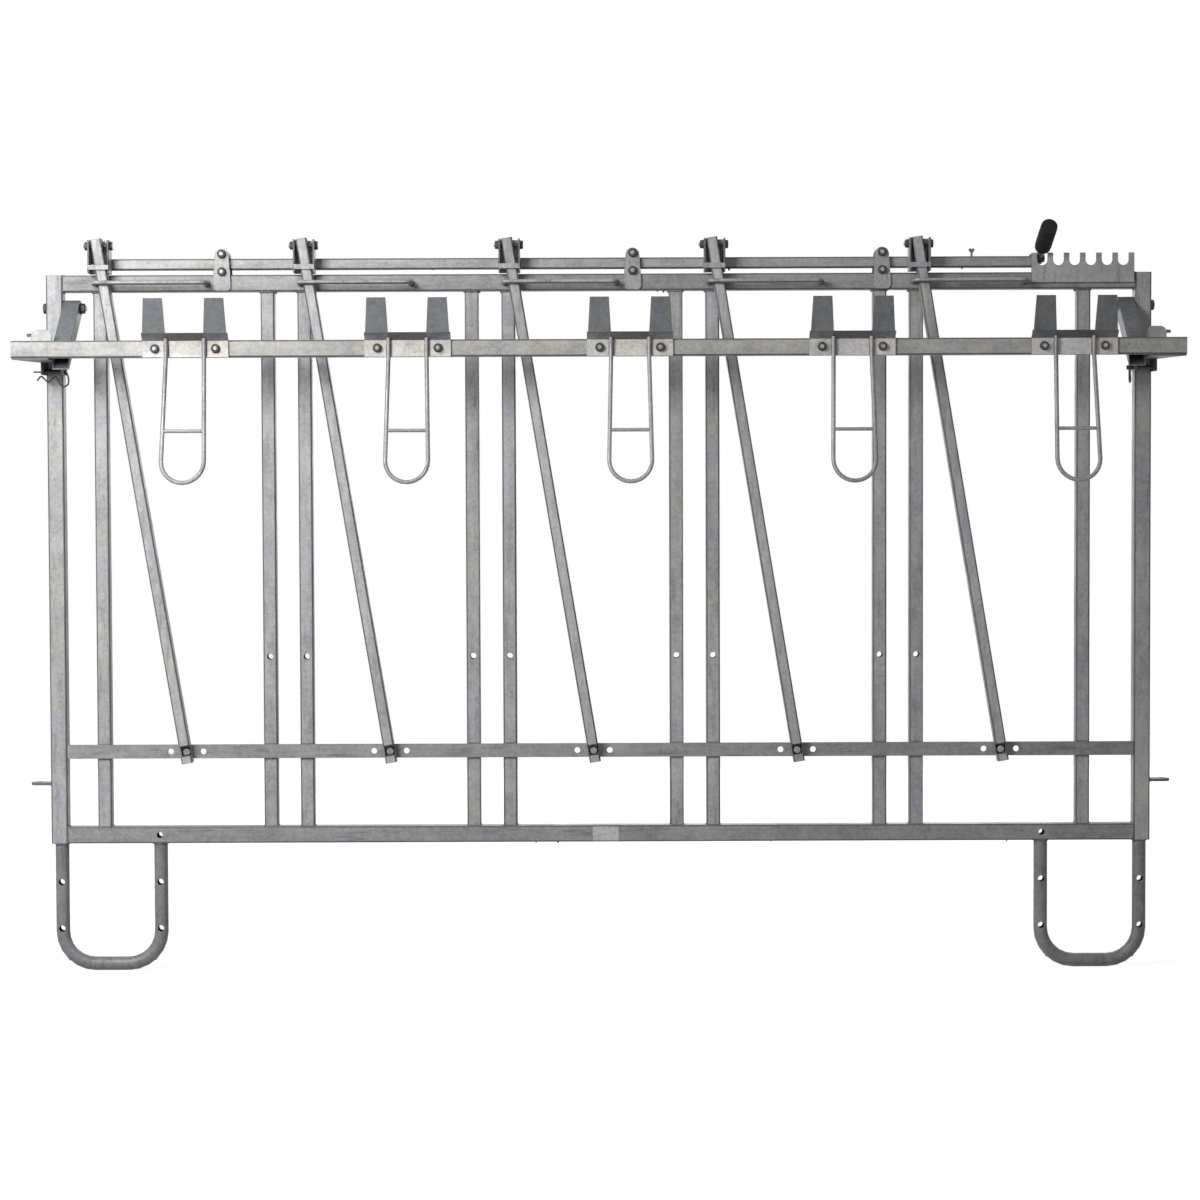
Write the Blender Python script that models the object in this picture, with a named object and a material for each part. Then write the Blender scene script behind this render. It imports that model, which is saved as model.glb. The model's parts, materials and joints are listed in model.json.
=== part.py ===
"""Calf feed front for five calves, with swing bars that are moved together.

Units are metres. X runs along the panel, +Z is up and -Y is the feeding side.
Every piece is placed from the panel's own datum: X = 0 at its middle, Y = 0 at
the middle of the posts and Z = 0 under the feet. One empty carries that datum.
"""

from math import asin, atan2, cos, degrees, hypot, pi, radians, sin, tan

import bmesh
import bpy
from mathutils import Matrix, Vector

# Overall frame
PANEL_WIDTH = 2.000
FRAME_TOP = 1.265
FRAME_BOTTOM = 0.234
POST = 0.030
RAIL = 0.030
TUBE_WALL = 0.002
TUBE_CORNER = 0.0028
WELD_GAP = 0.0003
WELD_LAP = 0.0005

# Places along the panel, each between two uprights
PLACES = 5
LEFT_END_GAP = 0.0545
RIGHT_END_GAP = 0.0795
GAP_BETWEEN_PLACES = 0.0415
UPRIGHT = 0.025
UPRIGHT_HOLE_ABOVE_FRAME = 0.3395
UPRIGHT_HOLE_RADIUS = 0.0055

# Lower cross bar
CROSS_BAR_HEIGHT = 0.025
CROSS_BAR_THICKNESS = 0.005
PIVOT_ABOVE_FRAME = 0.1675
CROSS_BAR_HOLE_OFFSET = 0.0295
CROSS_BAR_HOLE_RADIUS = 0.0055

# Feet
FOOT_TUBE_RADIUS = 0.0125
FOOT_WALL = 0.002
FOOT_INSET = 0.017
FOOT_SPAN = 0.180
FOOT_BEND_RADIUS = 0.060
FOOT_HOLE_RADIUS = 0.006
FOOT_HOLE_HEIGHTS = (0.163, 0.078)
RAIL_VENT_RADIUS = 0.0055

# Linking eyes on the posts
EYE_REACH = 0.038
EYE_WIDTH = 0.028
EYE_THICKNESS = 0.005
EYE_HOLE_RADIUS = 0.007
UPPER_EYE_BELOW_TOP = 0.107
LOWER_EYE_ABOVE_FRAME = 0.109

# Fasteners
M8_RADIUS = 0.004
M8_HEAD_RADIUS = 0.0075
M8_HEAD_HEIGHT = 0.0053
M8_NUT_HEIGHT = 0.0065
M10_RADIUS = 0.005
M10_HEAD_RADIUS = 0.0098
M10_HEAD_HEIGHT = 0.0064
HOLE_CLEARANCE = 0.0003
BOLT_TAIL = 0.0015

# Swing bars
SWING_WIDTH = 0.020
SWING_DEPTH = 0.025
SWING_WALL = 0.0015
SWING_ABOVE_BOLT = 0.012
SWING_TAIL = 0.020
SWING_RUNNING_GAP = 0.0005
PIVOT_WINDOW_BELOW = 0.007
PIVOT_WINDOW_ABOVE = 0.0125
BOLT_SLOT_CLEARANCE = 0.0008

# Control bar and its bearings
CONTROL_BAR = 0.020
CONTROL_BAR_WALL = 0.002
CONTROL_BAR_OVERHANG = 0.0231
BEARING_PLACES = ((0, 0.0705), (2, 0.0735), (4, -0.2145))
BEARING_WIDTH = 0.025
BEARING_BASE_WIDTH = 0.032
BEARING_BASE_HEIGHT = 0.018
BEARING_BASE_CORNER = 0.007
BEARING_PLATE = 0.003
BEARING_DROP = 0.029
BEARING_BOLT_ABOVE_RAIL = 0.0012
BEARING_TOP_CLEARANCE = 0.0036
BEARING_ROUND_TOP = 0.0093
BEARING_BOTTOM_CLEARANCE = 0.0003
STOP_SCREW_OFFSET = -0.0505
STOP_SCREW_RADIUS = 0.0019
STOP_SCREW_HEIGHT = 0.0150
STOP_SCREW_WINGS = 0.0086
STOP_SCREW_WING_SPAN = 0.0104
STOP_SCREW_WING_DIP = 0.0020
STOP_SCREW_WING_THICKNESS = 0.003

# Stirrups on the control bar
STIRRUP_PLATE = 0.003
STIRRUP_SIDE_CLEARANCE = 0.0012
STIRRUP_ABOVE_RAIL = 0.0015
STIRRUP_HEIGHT = 0.0595
STIRRUP_BOLT_BELOW_TOP = 0.010
STRAP_RISE = 0.006
STRAP_HEIGHT = 0.009
STRAP_CLEARANCE = 0.001

# Guide rods on the top rail
GUIDE_ROD_RADIUS = 0.004
GUIDE_ROD_BELOW_TOP = 0.016
GUIDE_ROD_LEFT = 0.158
GUIDE_ROD_RIGHT = 0.043
GUIDE_ROD_BEND = 0.010
GUIDE_ROD_GAP = 0.001

# Notched comb
COMB_PLATE = 0.003
COMB_BELOW_TOP = 0.019
COMB_ABOVE_TOP = 0.0346
COMB_END_LAND = 0.020
NOTCHES = 6
NOTCH_PITCH = 0.0293
NOTCH_WIDTH = 0.0193
NOTCH_DEPTH = 0.0226
FIRST_NOTCH_OFFSET = 0.075

# Handle
LEVER_RADIUS = 0.006
LEVER_EYE_RADIUS = 0.011
LEVER_EYE_THICKNESS = 0.008
LEVER_EYE_LAP = 0.0025
LEVER_COMB_CLEARANCE = 0.0008
HANDLE_PIVOT_RISE = 0.0085
GRIP_RADIUS = 0.0145
GRIP_START = 0.044
GRIP_LENGTH = 0.080
GRIP_END_WALL = 0.004
LUG_PLATE = 0.004
LUG_END_RADIUS = 0.009

# Front rail, its arms and end brackets
FRONT_RAIL_OVERHANG = 0.037
FRONT_RAIL_FACE_Y = -0.145
FRONT_RAIL_ABOVE_ARM_END = 0.0152
ARM_PIVOT_BELOW_TOP = 0.059
ARM_SLOPE = radians(40.0)
GUSSET_PLATE = 0.004
GUSSET_REAR_OVERHANG = 0.003
GUSSET_STEP_Y = -0.085
BRACKET_PLATE = 0.0035
BRACKET_CLEARANCE = 0.0008
EAR_FRONT_Y = -0.045
EAR_REAR_Y = -0.004
EAR_BELOW_PIN = 0.007
SADDLE_WIDTH = 0.036
SADDLE_RISE = 0.0363
SADDLE_PLATE = 0.004
SADDLE_CORNER = 0.011
ARM_SIDE_CLEARANCE = 0.0008

# Stop pins and their clips
STOP_PIN_RADIUS = 0.004
STOP_PIN_HEAD_RADIUS = 0.007
STOP_PIN_HEAD = 0.003
STOP_PIN_DROP = 0.0327
STOP_PIN_TAIL = 0.031
CLIP_WIRE_RADIUS = 0.0015
CLIP_HOLE_RADIUS = 0.0020
LEFT_CLIP_LEG = 0.0347
RIGHT_CLIP_LEG = 0.0100
LEFT_CLIP_Y = -0.032
LEFT_CLIP_BELOW_PIN = 0.002
RIGHT_CLIP_OFFSET = 0.026

# Bucket holders
HOLDERS = 5
LEFT_HOLDER_INSET = 0.2321
RIGHT_HOLDER_INSET = 0.1231
HOLDER_PLATE = 0.003
HOLDER_HALF_WIDTH = 0.076
HOLDER_STRIP = 0.012
TAB_RISE = 0.0873
TAB_LEAN = 0.010
TAB_INNER_FOOT = 0.0335
TAB_OUTER_FOOT = 0.074
TAB_INNER_TOP = 0.037
TAB_OUTER_TOP = 0.0705
HOLDER_BOLT_OFFSET = 0.0535
LOOP_WIRE_RADIUS = 0.004
LOOP_TOP_SPREAD = 0.0335
LOOP_FOOT_SPREAD = 0.0375
LOOP_RISE = 0.0178
LOOP_DROP = 0.2407
LOOP_FORWARD = 0.050
LOOP_CROSS_WIRE_DROP = 0.1461

# Facets
ROUND_SIDES = 12
ROD_SIDES = 10
WIRE_SIDES = 8

# Widths and depths worked out from the sizes above
HALF_WIDTH = PANEL_WIDTH / 2
POST_X = HALF_WIDTH - POST / 2
POST_INNER_X = HALF_WIDTH - POST
PLACES_WIDTH = 2 * POST_INNER_X - LEFT_END_GAP - RIGHT_END_GAP - (PLACES - 1) * GAP_BETWEEN_PLACES
UPRIGHT_SPACING = PLACES_WIDTH / PLACES - UPRIGHT
PLACE_PITCH = PLACES_WIDTH / PLACES + GAP_BETWEEN_PLACES
MIDDLE_PLACE_X = (LEFT_END_GAP - RIGHT_END_GAP) / 2
FRONT_RAIL_HALF = HALF_WIDTH + FRONT_RAIL_OVERHANG
HOLDERS_SPAN = 2 * (FRONT_RAIL_HALF - HOLDER_HALF_WIDTH) - LEFT_HOLDER_INSET - RIGHT_HOLDER_INSET
HOLDER_PITCH = HOLDERS_SPAN / (HOLDERS - 1)
MIDDLE_HOLDER_X = (LEFT_HOLDER_INSET - RIGHT_HOLDER_INSET) / 2
FOOT_OUTER_X = HALF_WIDTH - FOOT_INSET
FOOT_INNER_X = FOOT_OUTER_X - FOOT_SPAN
GUSSET_REAR_X = HALF_WIDTH + GUSSET_REAR_OVERHANG
ARM_OUTER_X = POST_INNER_X - WELD_GAP
ARM_INNER_X = ARM_OUTER_X - RAIL
RAIL_FRONT_Y = -RAIL / 2
RAIL_BACK_Y = RAIL / 2
PLATE_FRONT_Y = RAIL_FRONT_Y - WELD_GAP
UPRIGHT_FRONT_Y = RAIL_BACK_Y - UPRIGHT
CROSS_BAR_BACK_Y = UPRIGHT_FRONT_Y - WELD_GAP
CROSS_BAR_FRONT_Y = CROSS_BAR_BACK_Y - CROSS_BAR_THICKNESS
SWING_BACK_Y = min(CROSS_BAR_FRONT_Y, RAIL_FRONT_Y) - SWING_RUNNING_GAP
SWING_FRONT_Y = SWING_BACK_Y - SWING_DEPTH
SWING_MID_Y = (SWING_BACK_Y + SWING_FRONT_Y) / 2
FRONT_RAIL_BACK_Y = FRONT_RAIL_FACE_Y + RAIL
STOP_PIN_Y = -POST / 2 - WELD_GAP - STOP_PIN_RADIUS

# Heights worked out from the sizes above
PIVOT_Z = FRAME_BOTTOM + PIVOT_ABOVE_FRAME
UPRIGHT_HOLE_Z = FRAME_BOTTOM + UPRIGHT_HOLE_ABOVE_FRAME
EYE_HEIGHTS = (FRAME_TOP - UPPER_EYE_BELOW_TOP, FRAME_BOTTOM + LOWER_EYE_ABOVE_FRAME)
GUIDE_ROD_Z = FRAME_TOP - GUIDE_ROD_BELOW_TOP
COMB_BOTTOM = FRAME_TOP - COMB_BELOW_TOP
COMB_TIPS = FRAME_TOP + COMB_ABOVE_TOP
BEARING_BOLT_Z = FRAME_TOP + BEARING_BOLT_ABOVE_RAIL + M8_RADIUS
CONTROL_BAR_Z = BEARING_BOLT_Z + M8_RADIUS + BEARING_BOTTOM_CLEARANCE + CONTROL_BAR / 2
STIRRUP_BOTTOM = FRAME_TOP + STIRRUP_ABOVE_RAIL
STIRRUP_TOP = STIRRUP_BOTTOM + STIRRUP_HEIGHT
STIRRUP_MIDDLE_Z = (STIRRUP_BOTTOM + STIRRUP_TOP) / 2
STIRRUP_BOLT_Z = STIRRUP_TOP - STIRRUP_BOLT_BELOW_TOP
STRAP_BOTTOM = STIRRUP_BOTTOM + STRAP_RISE
ARM_PIVOT_Z = FRAME_TOP - ARM_PIVOT_BELOW_TOP
FRONT_RAIL_Z = ARM_PIVOT_Z + FRONT_RAIL_BACK_Y * tan(ARM_SLOPE) + FRONT_RAIL_ABOVE_ARM_END
FRONT_RAIL_BOTTOM = FRONT_RAIL_Z - RAIL / 2
SADDLE_TOP = FRONT_RAIL_Z + SADDLE_RISE
STOP_PIN_Z = FRONT_RAIL_Z - STOP_PIN_DROP
EAR_BOTTOM = STOP_PIN_Z - EAR_BELOW_PIN
LEFT_CLIP_Z = STOP_PIN_Z - LEFT_CLIP_BELOW_PIN
TAB_TOP = FRONT_RAIL_Z + TAB_RISE
LOOP_TOP_Z = FRONT_RAIL_Z + LOOP_RISE
LOOP_BOTTOM_Z = FRONT_RAIL_Z - LOOP_DROP
LOOP_CROSS_WIRE_Z = FRONT_RAIL_Z - LOOP_CROSS_WIRE_DROP

# Travel and lean: one step of the lever from notch to notch tips the bars by one step
TRAVEL = (NOTCHES - 1) * NOTCH_PITCH
LEAN = atan2(TRAVEL, CONTROL_BAR_Z - PIVOT_Z)
SWING_LENGTH = (STIRRUP_BOLT_Z - PIVOT_Z) / cos(LEAN) + SWING_ABOVE_BOLT


def place_x(index):
    """X of the middle of one calf's place, counted from the left."""
    return MIDDLE_PLACE_X + PLACE_PITCH * (index - (PLACES - 1) / 2)


def stirrup_x(index):
    """X of a stirrup at rest, around the swing bar where it leans furthest."""
    return place_x(index) - (STIRRUP_MIDDLE_Z - PIVOT_Z) * tan(LEAN)


def holder_x(index):
    """X of the middle of one bucket holder, counted from the left."""
    return MIDDLE_HOLDER_X + HOLDER_PITCH * (index - (HOLDERS - 1) / 2)


# Comb and lever, which rests just clear of the comb's tips
FIRST_NOTCH_X = place_x(PLACES - 1) + FIRST_NOTCH_OFFSET
COMB_RIGHT = FIRST_NOTCH_X + TRAVEL + COMB_END_LAND
LEVER_X = FIRST_NOTCH_X
LUG_RIGHT_X = LEVER_X - LEVER_RADIUS - 2 * WELD_GAP
HANDLE_PIVOT_Y = CONTROL_BAR / 2 + LUG_END_RADIUS
HANDLE_PIVOT_Z = CONTROL_BAR_Z + HANDLE_PIVOT_RISE
TIP_AHEAD = HANDLE_PIVOT_Y - PLATE_FRONT_Y
TIP_ABOVE = COMB_TIPS + LEVER_COMB_CLEARANCE - HANDLE_PIVOT_Z
HANDLE_REST_ANGLE = atan2(TIP_ABOVE, TIP_AHEAD) + asin(LEVER_RADIUS / hypot(TIP_AHEAD, TIP_ABOVE))
CONTROL_BAR_LEFT = stirrup_x(0) - CONTROL_BAR_OVERHANG
STOP_SCREW_X = place_x(PLACES - 1) + STOP_SCREW_OFFSET


# Scene and datum
for leftover in list(bpy.data.objects):
    bpy.data.objects.remove(leftover, do_unlink=True)

datum = bpy.data.objects.new("panel_datum", None)
bpy.context.scene.collection.objects.link(datum)


# Outlines
def rounded_rectangle(width, height, radius, steps=2):
    """Corner-rounded rectangle around (0, 0), counter-clockwise."""
    points = []
    for corner, (sx, sy) in enumerate(((1, 1), (-1, 1), (-1, -1), (1, -1))):
        centre_x = sx * (width / 2 - radius)
        centre_y = sy * (height / 2 - radius)
        for step in range(steps + 1):
            angle = pi / 2 * (corner + step / steps)
            points.append((centre_x + radius * cos(angle), centre_y + radius * sin(angle)))
    return points


def arc(centre, radius, start, end, steps):
    """Points on a circle from one angle to another, both in degrees."""
    points = []
    for step in range(steps + 1):
        angle = radians(start + (end - start) * step / steps)
        points.append((centre[0] + radius * cos(angle), centre[1] + radius * sin(angle)))
    return points


def rounded_path(corners, radius, steps):
    """A path through 3-D corners, each inner corner turned into an arc."""
    corners = [Vector(corner) for corner in corners]
    path = [corners[0]]
    for before, corner, after in zip(corners, corners[1:], corners[2:]):
        into = (corner - before).normalized()
        out = (after - corner).normalized()
        turn = into.angle(out)
        setback = radius * tan(turn / 2)
        start = corner - into * setback
        centre_way = (out - into).normalized()
        centre = corner + centre_way * (radius / cos(turn / 2))
        axis = into.cross(out).normalized()
        for step in range(steps + 1):
            spin = Matrix.Rotation(turn * step / steps, 3, axis)
            path.append(centre + spin @ (start - centre))
    path.append(corners[-1])
    return path


def smooth_path(points, steps):
    """A Catmull-Rom curve through 3-D points."""
    points = [Vector(point) for point in points]
    ends = [2 * points[0] - points[1]] + points + [2 * points[-1] - points[-2]]
    path = []
    for index in range(len(points) - 1):
        a, b, c, d = ends[index:index + 4]
        for step in range(steps):
            t = step / steps
            path.append(0.5 * (2 * b + (c - a) * t + (2 * a - 5 * b + 4 * c - d) * t ** 2
                               + (3 * b - a - 3 * c + d) * t ** 3))
    path.append(points[-1])
    return path


# Shapes, each added to a bmesh
def axis_point(axis, along, u, v):
    """A point from its place along an axis and its two other coordinates in order."""
    others = [u, v]
    return [along if index == axis else others.pop(0) for index in range(3)]


def add_loop(mesh, outline, axis, along):
    return [mesh.verts.new(axis_point(axis, along, u, v)) for u, v in outline]


def bridge(mesh, first, second):
    """Side faces between two loops with as many points."""
    for index in range(len(first)):
        after = (index + 1) % len(first)
        mesh.faces.new((first[index], first[after], second[after], second[index]))


def add_prism(mesh, outline, axis, low, high):
    """A solid with a constant outline between two places on an axis."""
    bottom = add_loop(mesh, outline, axis, low)
    top = add_loop(mesh, outline, axis, high)
    mesh.faces.new(bottom)
    mesh.faces.new(top)
    bridge(mesh, bottom, top)


def add_box(mesh, low, high):
    outline = [(low[0], low[1]), (high[0], low[1]), (high[0], high[1]), (low[0], high[1])]
    add_prism(mesh, outline, 2, low[2], high[2])


def add_cylinder(mesh, axis, centre, radius, low, high, sides=ROUND_SIDES):
    outline = [(centre[0] + radius * cos(2 * pi * index / sides),
                centre[1] + radius * sin(2 * pi * index / sides)) for index in range(sides)]
    add_prism(mesh, outline, axis, low, high)


def add_hexagon(mesh, axis, centre, radius, low, high):
    add_cylinder(mesh, axis, centre, radius, low, high, sides=6)


def square_outline(centre, size, corner):
    return [(centre[0] + u, centre[1] + v) for u, v in rounded_rectangle(*size, corner)]


def add_square_tube(mesh, axis, centre, size, wall, low, high):
    """Square tube along an axis, with open ends."""
    corner = min(TUBE_CORNER, size[0] / 3, size[1] / 3)
    inner_size = (size[0] - 2 * wall, size[1] - 2 * wall)
    outer = square_outline(centre, size, corner)
    bore = square_outline(centre, inner_size, max(corner - wall, corner / 6))
    outer_low = add_loop(mesh, outer, axis, low)
    outer_high = add_loop(mesh, outer, axis, high)
    bore_low = add_loop(mesh, bore, axis, low)
    bore_high = add_loop(mesh, bore, axis, high)
    bridge(mesh, outer_low, outer_high)
    bridge(mesh, bore_high, bore_low)
    bridge(mesh, bore_low, outer_low)
    bridge(mesh, outer_high, bore_high)


def ring_frames(path, normal):
    """Two cross directions at each point of a path that lies in one plane."""
    normal = Vector(normal).normalized()
    frames = []
    for index, point in enumerate(path):
        before = path[max(index - 1, 0)]
        after = path[min(index + 1, len(path) - 1)]
        into = (point - before).normalized() if index else (after - point).normalized()
        out = (after - point).normalized() if index < len(path) - 1 else into
        side = normal.cross((into + out).normalized()).normalized()
        stretch = 1 / max(cos(into.angle(out) / 2), 0.5)
        frames.append((point, normal, side * stretch))
    return frames


def add_sweep(mesh, path, normal, radius, sides, wall=0.0):
    """Round rod along a plane path, or a tube with open ends where it has a wall."""
    skins = []
    for skin_radius in (radius, radius - wall) if wall else (radius,):
        rings = []
        for point, across, side in ring_frames(path, normal):
            ring = []
            for index in range(sides):
                angle = 2 * pi * index / sides
                ring.append(mesh.verts.new(point + across * (skin_radius * cos(angle))
                                           + side * (skin_radius * sin(angle))))
            rings.append(ring)
        for first, second in zip(rings, rings[1:]):
            bridge(mesh, first, second)
        skins.append(rings)
    if wall:
        bridge(mesh, skins[0][0], skins[1][0])
        bridge(mesh, skins[0][-1], skins[1][-1])
    else:
        mesh.faces.new(skins[0][0])
        mesh.faces.new(skins[0][-1])


# Objects and finishes
FINISHES = {
    "galvanised_steel": ((0.42, 0.42, 0.41), 0.48, 0.85),
    "dark_galvanised_steel": ((0.16, 0.17, 0.175), 0.55, 0.80),
    "zinc_plated_steel": ((0.36, 0.36, 0.35), 0.35, 0.90),
    "spring_steel": ((0.10, 0.10, 0.09), 0.40, 0.90),
    "rubber": ((0.008, 0.008, 0.008), 0.75, 0.0),
}


def finish(piece, kind):
    """Give a piece its own Principled material."""
    colour, roughness, metallic = FINISHES[kind]
    material = bpy.data.materials.new(piece.name + "_" + kind)
    material.use_nodes = True
    shader = material.node_tree.nodes["Principled BSDF"]
    shader.inputs["Base Color"].default_value = (*colour, 1.0)
    shader.inputs["Roughness"].default_value = roughness
    shader.inputs["Metallic"].default_value = metallic
    piece.data.materials.append(material)


def to_object(name, mesh, origin):
    """Turn a bmesh drawn on the panel's datum into an object with its own origin."""
    bmesh.ops.translate(mesh, verts=mesh.verts, vec=-Vector(origin))
    bmesh.ops.recalc_face_normals(mesh, faces=mesh.faces)
    data = bpy.data.meshes.new(name)
    mesh.to_mesh(data)
    mesh.free()
    piece = bpy.data.objects.new(name, data)
    piece.location = origin
    piece.parent = datum
    bpy.context.scene.collection.objects.link(piece)
    return piece


def make(name, kind, draw, origin=(0, 0, 0), turn=(0, 0, 0), smooth=False):
    """Make a named sub-part from a function that draws it into a bmesh."""
    mesh = bmesh.new()
    draw(mesh)
    piece = to_object(name, mesh, origin)
    piece.rotation_euler = turn
    finish(piece, kind)
    if smooth:
        piece.data.shade_smooth()
        piece.data.set_sharp_from_angle(angle=radians(35))
    return piece


def combine(piece, operation, label, draw):
    """Cut a hidden shape out of a piece, or join it on, with a Boolean modifier."""
    mesh = bmesh.new()
    draw(mesh)
    tool = to_object(piece.name + "_" + label, mesh, piece.location)
    tool.rotation_euler = piece.rotation_euler
    tool.hide_render = True
    tool.display_type = "WIRE"
    modifier = piece.modifiers.new(label, "BOOLEAN")
    modifier.operation = operation
    modifier.solver = "EXACT"
    modifier.object = tool


def cut(piece, label, draw):
    combine(piece, "DIFFERENCE", label, draw)


def join(piece, label, draw):
    combine(piece, "UNION", label, draw)


# Frame
def make_post(name, side):
    """Outer post, closed at both ends, with two linking eyes welded to its outer side."""
    post_x = side * POST_X
    face_x = side * HALF_WIDTH

    def draw_post(mesh):
        outline = square_outline((post_x, 0), (POST, POST), TUBE_CORNER)
        add_prism(mesh, outline, 2, FRAME_BOTTOM, FRAME_TOP)

    def draw_cavity(mesh):
        inner = POST - 2 * TUBE_WALL
        outline = square_outline((post_x, 0), (inner, inner), TUBE_CORNER - TUBE_WALL)
        add_prism(mesh, outline, 2, FRAME_BOTTOM + TUBE_WALL, FRAME_TOP - TUBE_WALL)

    def eye_outline():
        centre_x = EYE_REACH - EYE_WIDTH / 2
        weld_x = -TUBE_WALL / 2
        outline = [(weld_x, -EYE_WIDTH / 2)]
        outline += arc((centre_x, 0), EYE_WIDTH / 2, -90, 90, 8)
        outline += [(weld_x, EYE_WIDTH / 2)]
        return [(face_x + side * x, y) for x, y in outline]

    def draw_eyes(mesh):
        for height in EYE_HEIGHTS:
            add_prism(mesh, eye_outline(), 2, height - EYE_THICKNESS / 2, height + EYE_THICKNESS / 2)

    def draw_holes(mesh):
        hole_x = face_x + side * (EYE_REACH - EYE_WIDTH / 2)
        for height in EYE_HEIGHTS:
            add_cylinder(mesh, 2, (hole_x, 0), EYE_HOLE_RADIUS,
                         height - EYE_THICKNESS, height + EYE_THICKNESS)
        add_cylinder(mesh, 0, (0, ARM_PIVOT_Z), M10_RADIUS + HOLE_CLEARANCE,
                     post_x - POST, post_x + POST)

    post = make(name, "galvanised_steel", draw_post)
    cut(post, "cavity", draw_cavity)
    join(post, "eyes", draw_eyes)
    cut(post, "holes", draw_holes)


def draw_guide_rods(mesh):
    rod_y = SWING_FRONT_Y - GUIDE_ROD_GAP - GUIDE_ROD_RADIUS
    weld_y = RAIL_FRONT_Y + TUBE_WALL / 2
    for index in range(PLACES):
        left = place_x(index) - GUIDE_ROD_LEFT
        right = place_x(index) + GUIDE_ROD_RIGHT
        corners = [(left, weld_y, GUIDE_ROD_Z), (left, rod_y, GUIDE_ROD_Z),
                   (right, rod_y, GUIDE_ROD_Z), (right, weld_y, GUIDE_ROD_Z)]
        path = rounded_path(corners, GUIDE_ROD_BEND, 4)
        add_sweep(mesh, path, (0, 0, 1), GUIDE_ROD_RADIUS, ROD_SIDES)


def make_rails():
    rail_half = POST_INNER_X - WELD_GAP

    def draw_top_rail(mesh):
        add_square_tube(mesh, 0, (0, FRAME_TOP - RAIL / 2), (RAIL, RAIL), TUBE_WALL,
                        -rail_half, rail_half)

    def draw_bottom_rail(mesh):
        add_square_tube(mesh, 0, (0, FRAME_BOTTOM + RAIL / 2), (RAIL, RAIL), TUBE_WALL,
                        -rail_half, rail_half)

    def draw_vents(mesh):
        for side in (-1, 1):
            add_cylinder(mesh, 1, (side * FOOT_INNER_X, FRAME_BOTTOM + RAIL / 2),
                         RAIL_VENT_RADIUS, -RAIL, RAIL)

    top_rail = make("top_rail", "galvanised_steel", draw_top_rail)
    join(top_rail, "guide_rods", draw_guide_rods)
    bottom_rail = make("bottom_rail", "galvanised_steel", draw_bottom_rail)
    cut(bottom_rail, "vents", draw_vents)

    def draw_cross_bar(mesh):
        add_box(mesh, (-rail_half, CROSS_BAR_FRONT_Y, PIVOT_Z - CROSS_BAR_HEIGHT / 2),
                (rail_half, CROSS_BAR_BACK_Y, PIVOT_Z + CROSS_BAR_HEIGHT / 2))

    def draw_bar_holes(mesh):
        for index in range(PLACES):
            for offset, radius in ((-CROSS_BAR_HOLE_OFFSET, CROSS_BAR_HOLE_RADIUS),
                                   (0, M8_RADIUS + HOLE_CLEARANCE),
                                   (CROSS_BAR_HOLE_OFFSET, CROSS_BAR_HOLE_RADIUS)):
                add_cylinder(mesh, 1, (place_x(index) + offset, PIVOT_Z), radius,
                             CROSS_BAR_FRONT_Y - WELD_GAP, CROSS_BAR_BACK_Y + WELD_GAP)

    cross_bar = make("lower_cross_bar", "galvanised_steel", draw_cross_bar)
    cut(cross_bar, "holes", draw_bar_holes)


def make_uprights():
    """Two uprights for each place. All but the outermost two are drilled."""
    total = 2 * PLACES
    upright_y = RAIL_BACK_Y - UPRIGHT / 2
    for index in range(total):
        side = -1 if index % 2 == 0 else 1
        bar_x = place_x(index // 2) + side * UPRIGHT_SPACING / 2

        def draw_upright(mesh, bar_x=bar_x):
            add_square_tube(mesh, 2, (bar_x, upright_y), (UPRIGHT, UPRIGHT), TUBE_WALL,
                            FRAME_BOTTOM + RAIL + WELD_GAP, FRAME_TOP - RAIL - WELD_GAP)

        def draw_hole(mesh, bar_x=bar_x):
            add_cylinder(mesh, 1, (bar_x, UPRIGHT_HOLE_Z), UPRIGHT_HOLE_RADIUS,
                         upright_y - UPRIGHT, upright_y + UPRIGHT)

        upright = make(f"vertical_bar_{index + 1:02d}", "galvanised_steel", draw_upright)
        if 0 < index < total - 1:
            cut(upright, "hole", draw_hole)


def make_foot(name, side):
    """Round tube bent to a U, with bolt holes through both legs."""
    top = FRAME_BOTTOM - WELD_GAP
    corners = [(side * FOOT_OUTER_X, 0, top), (side * FOOT_OUTER_X, 0, FOOT_TUBE_RADIUS),
               (side * FOOT_INNER_X, 0, FOOT_TUBE_RADIUS), (side * FOOT_INNER_X, 0, top)]

    def draw_foot(mesh):
        path = rounded_path(corners, FOOT_BEND_RADIUS, 6)
        add_sweep(mesh, path, (0, 1, 0), FOOT_TUBE_RADIUS, ROUND_SIDES, wall=FOOT_WALL)

    def draw_holes(mesh):
        for leg_x in (FOOT_OUTER_X, FOOT_INNER_X):
            for height in FOOT_HOLE_HEIGHTS:
                add_cylinder(mesh, 1, (side * leg_x, height), FOOT_HOLE_RADIUS,
                             -2 * FOOT_TUBE_RADIUS, 2 * FOOT_TUBE_RADIUS, sides=12)

    foot = make(name, "galvanised_steel", draw_foot, smooth=True)
    cut(foot, "bolt_holes", draw_holes)


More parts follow.
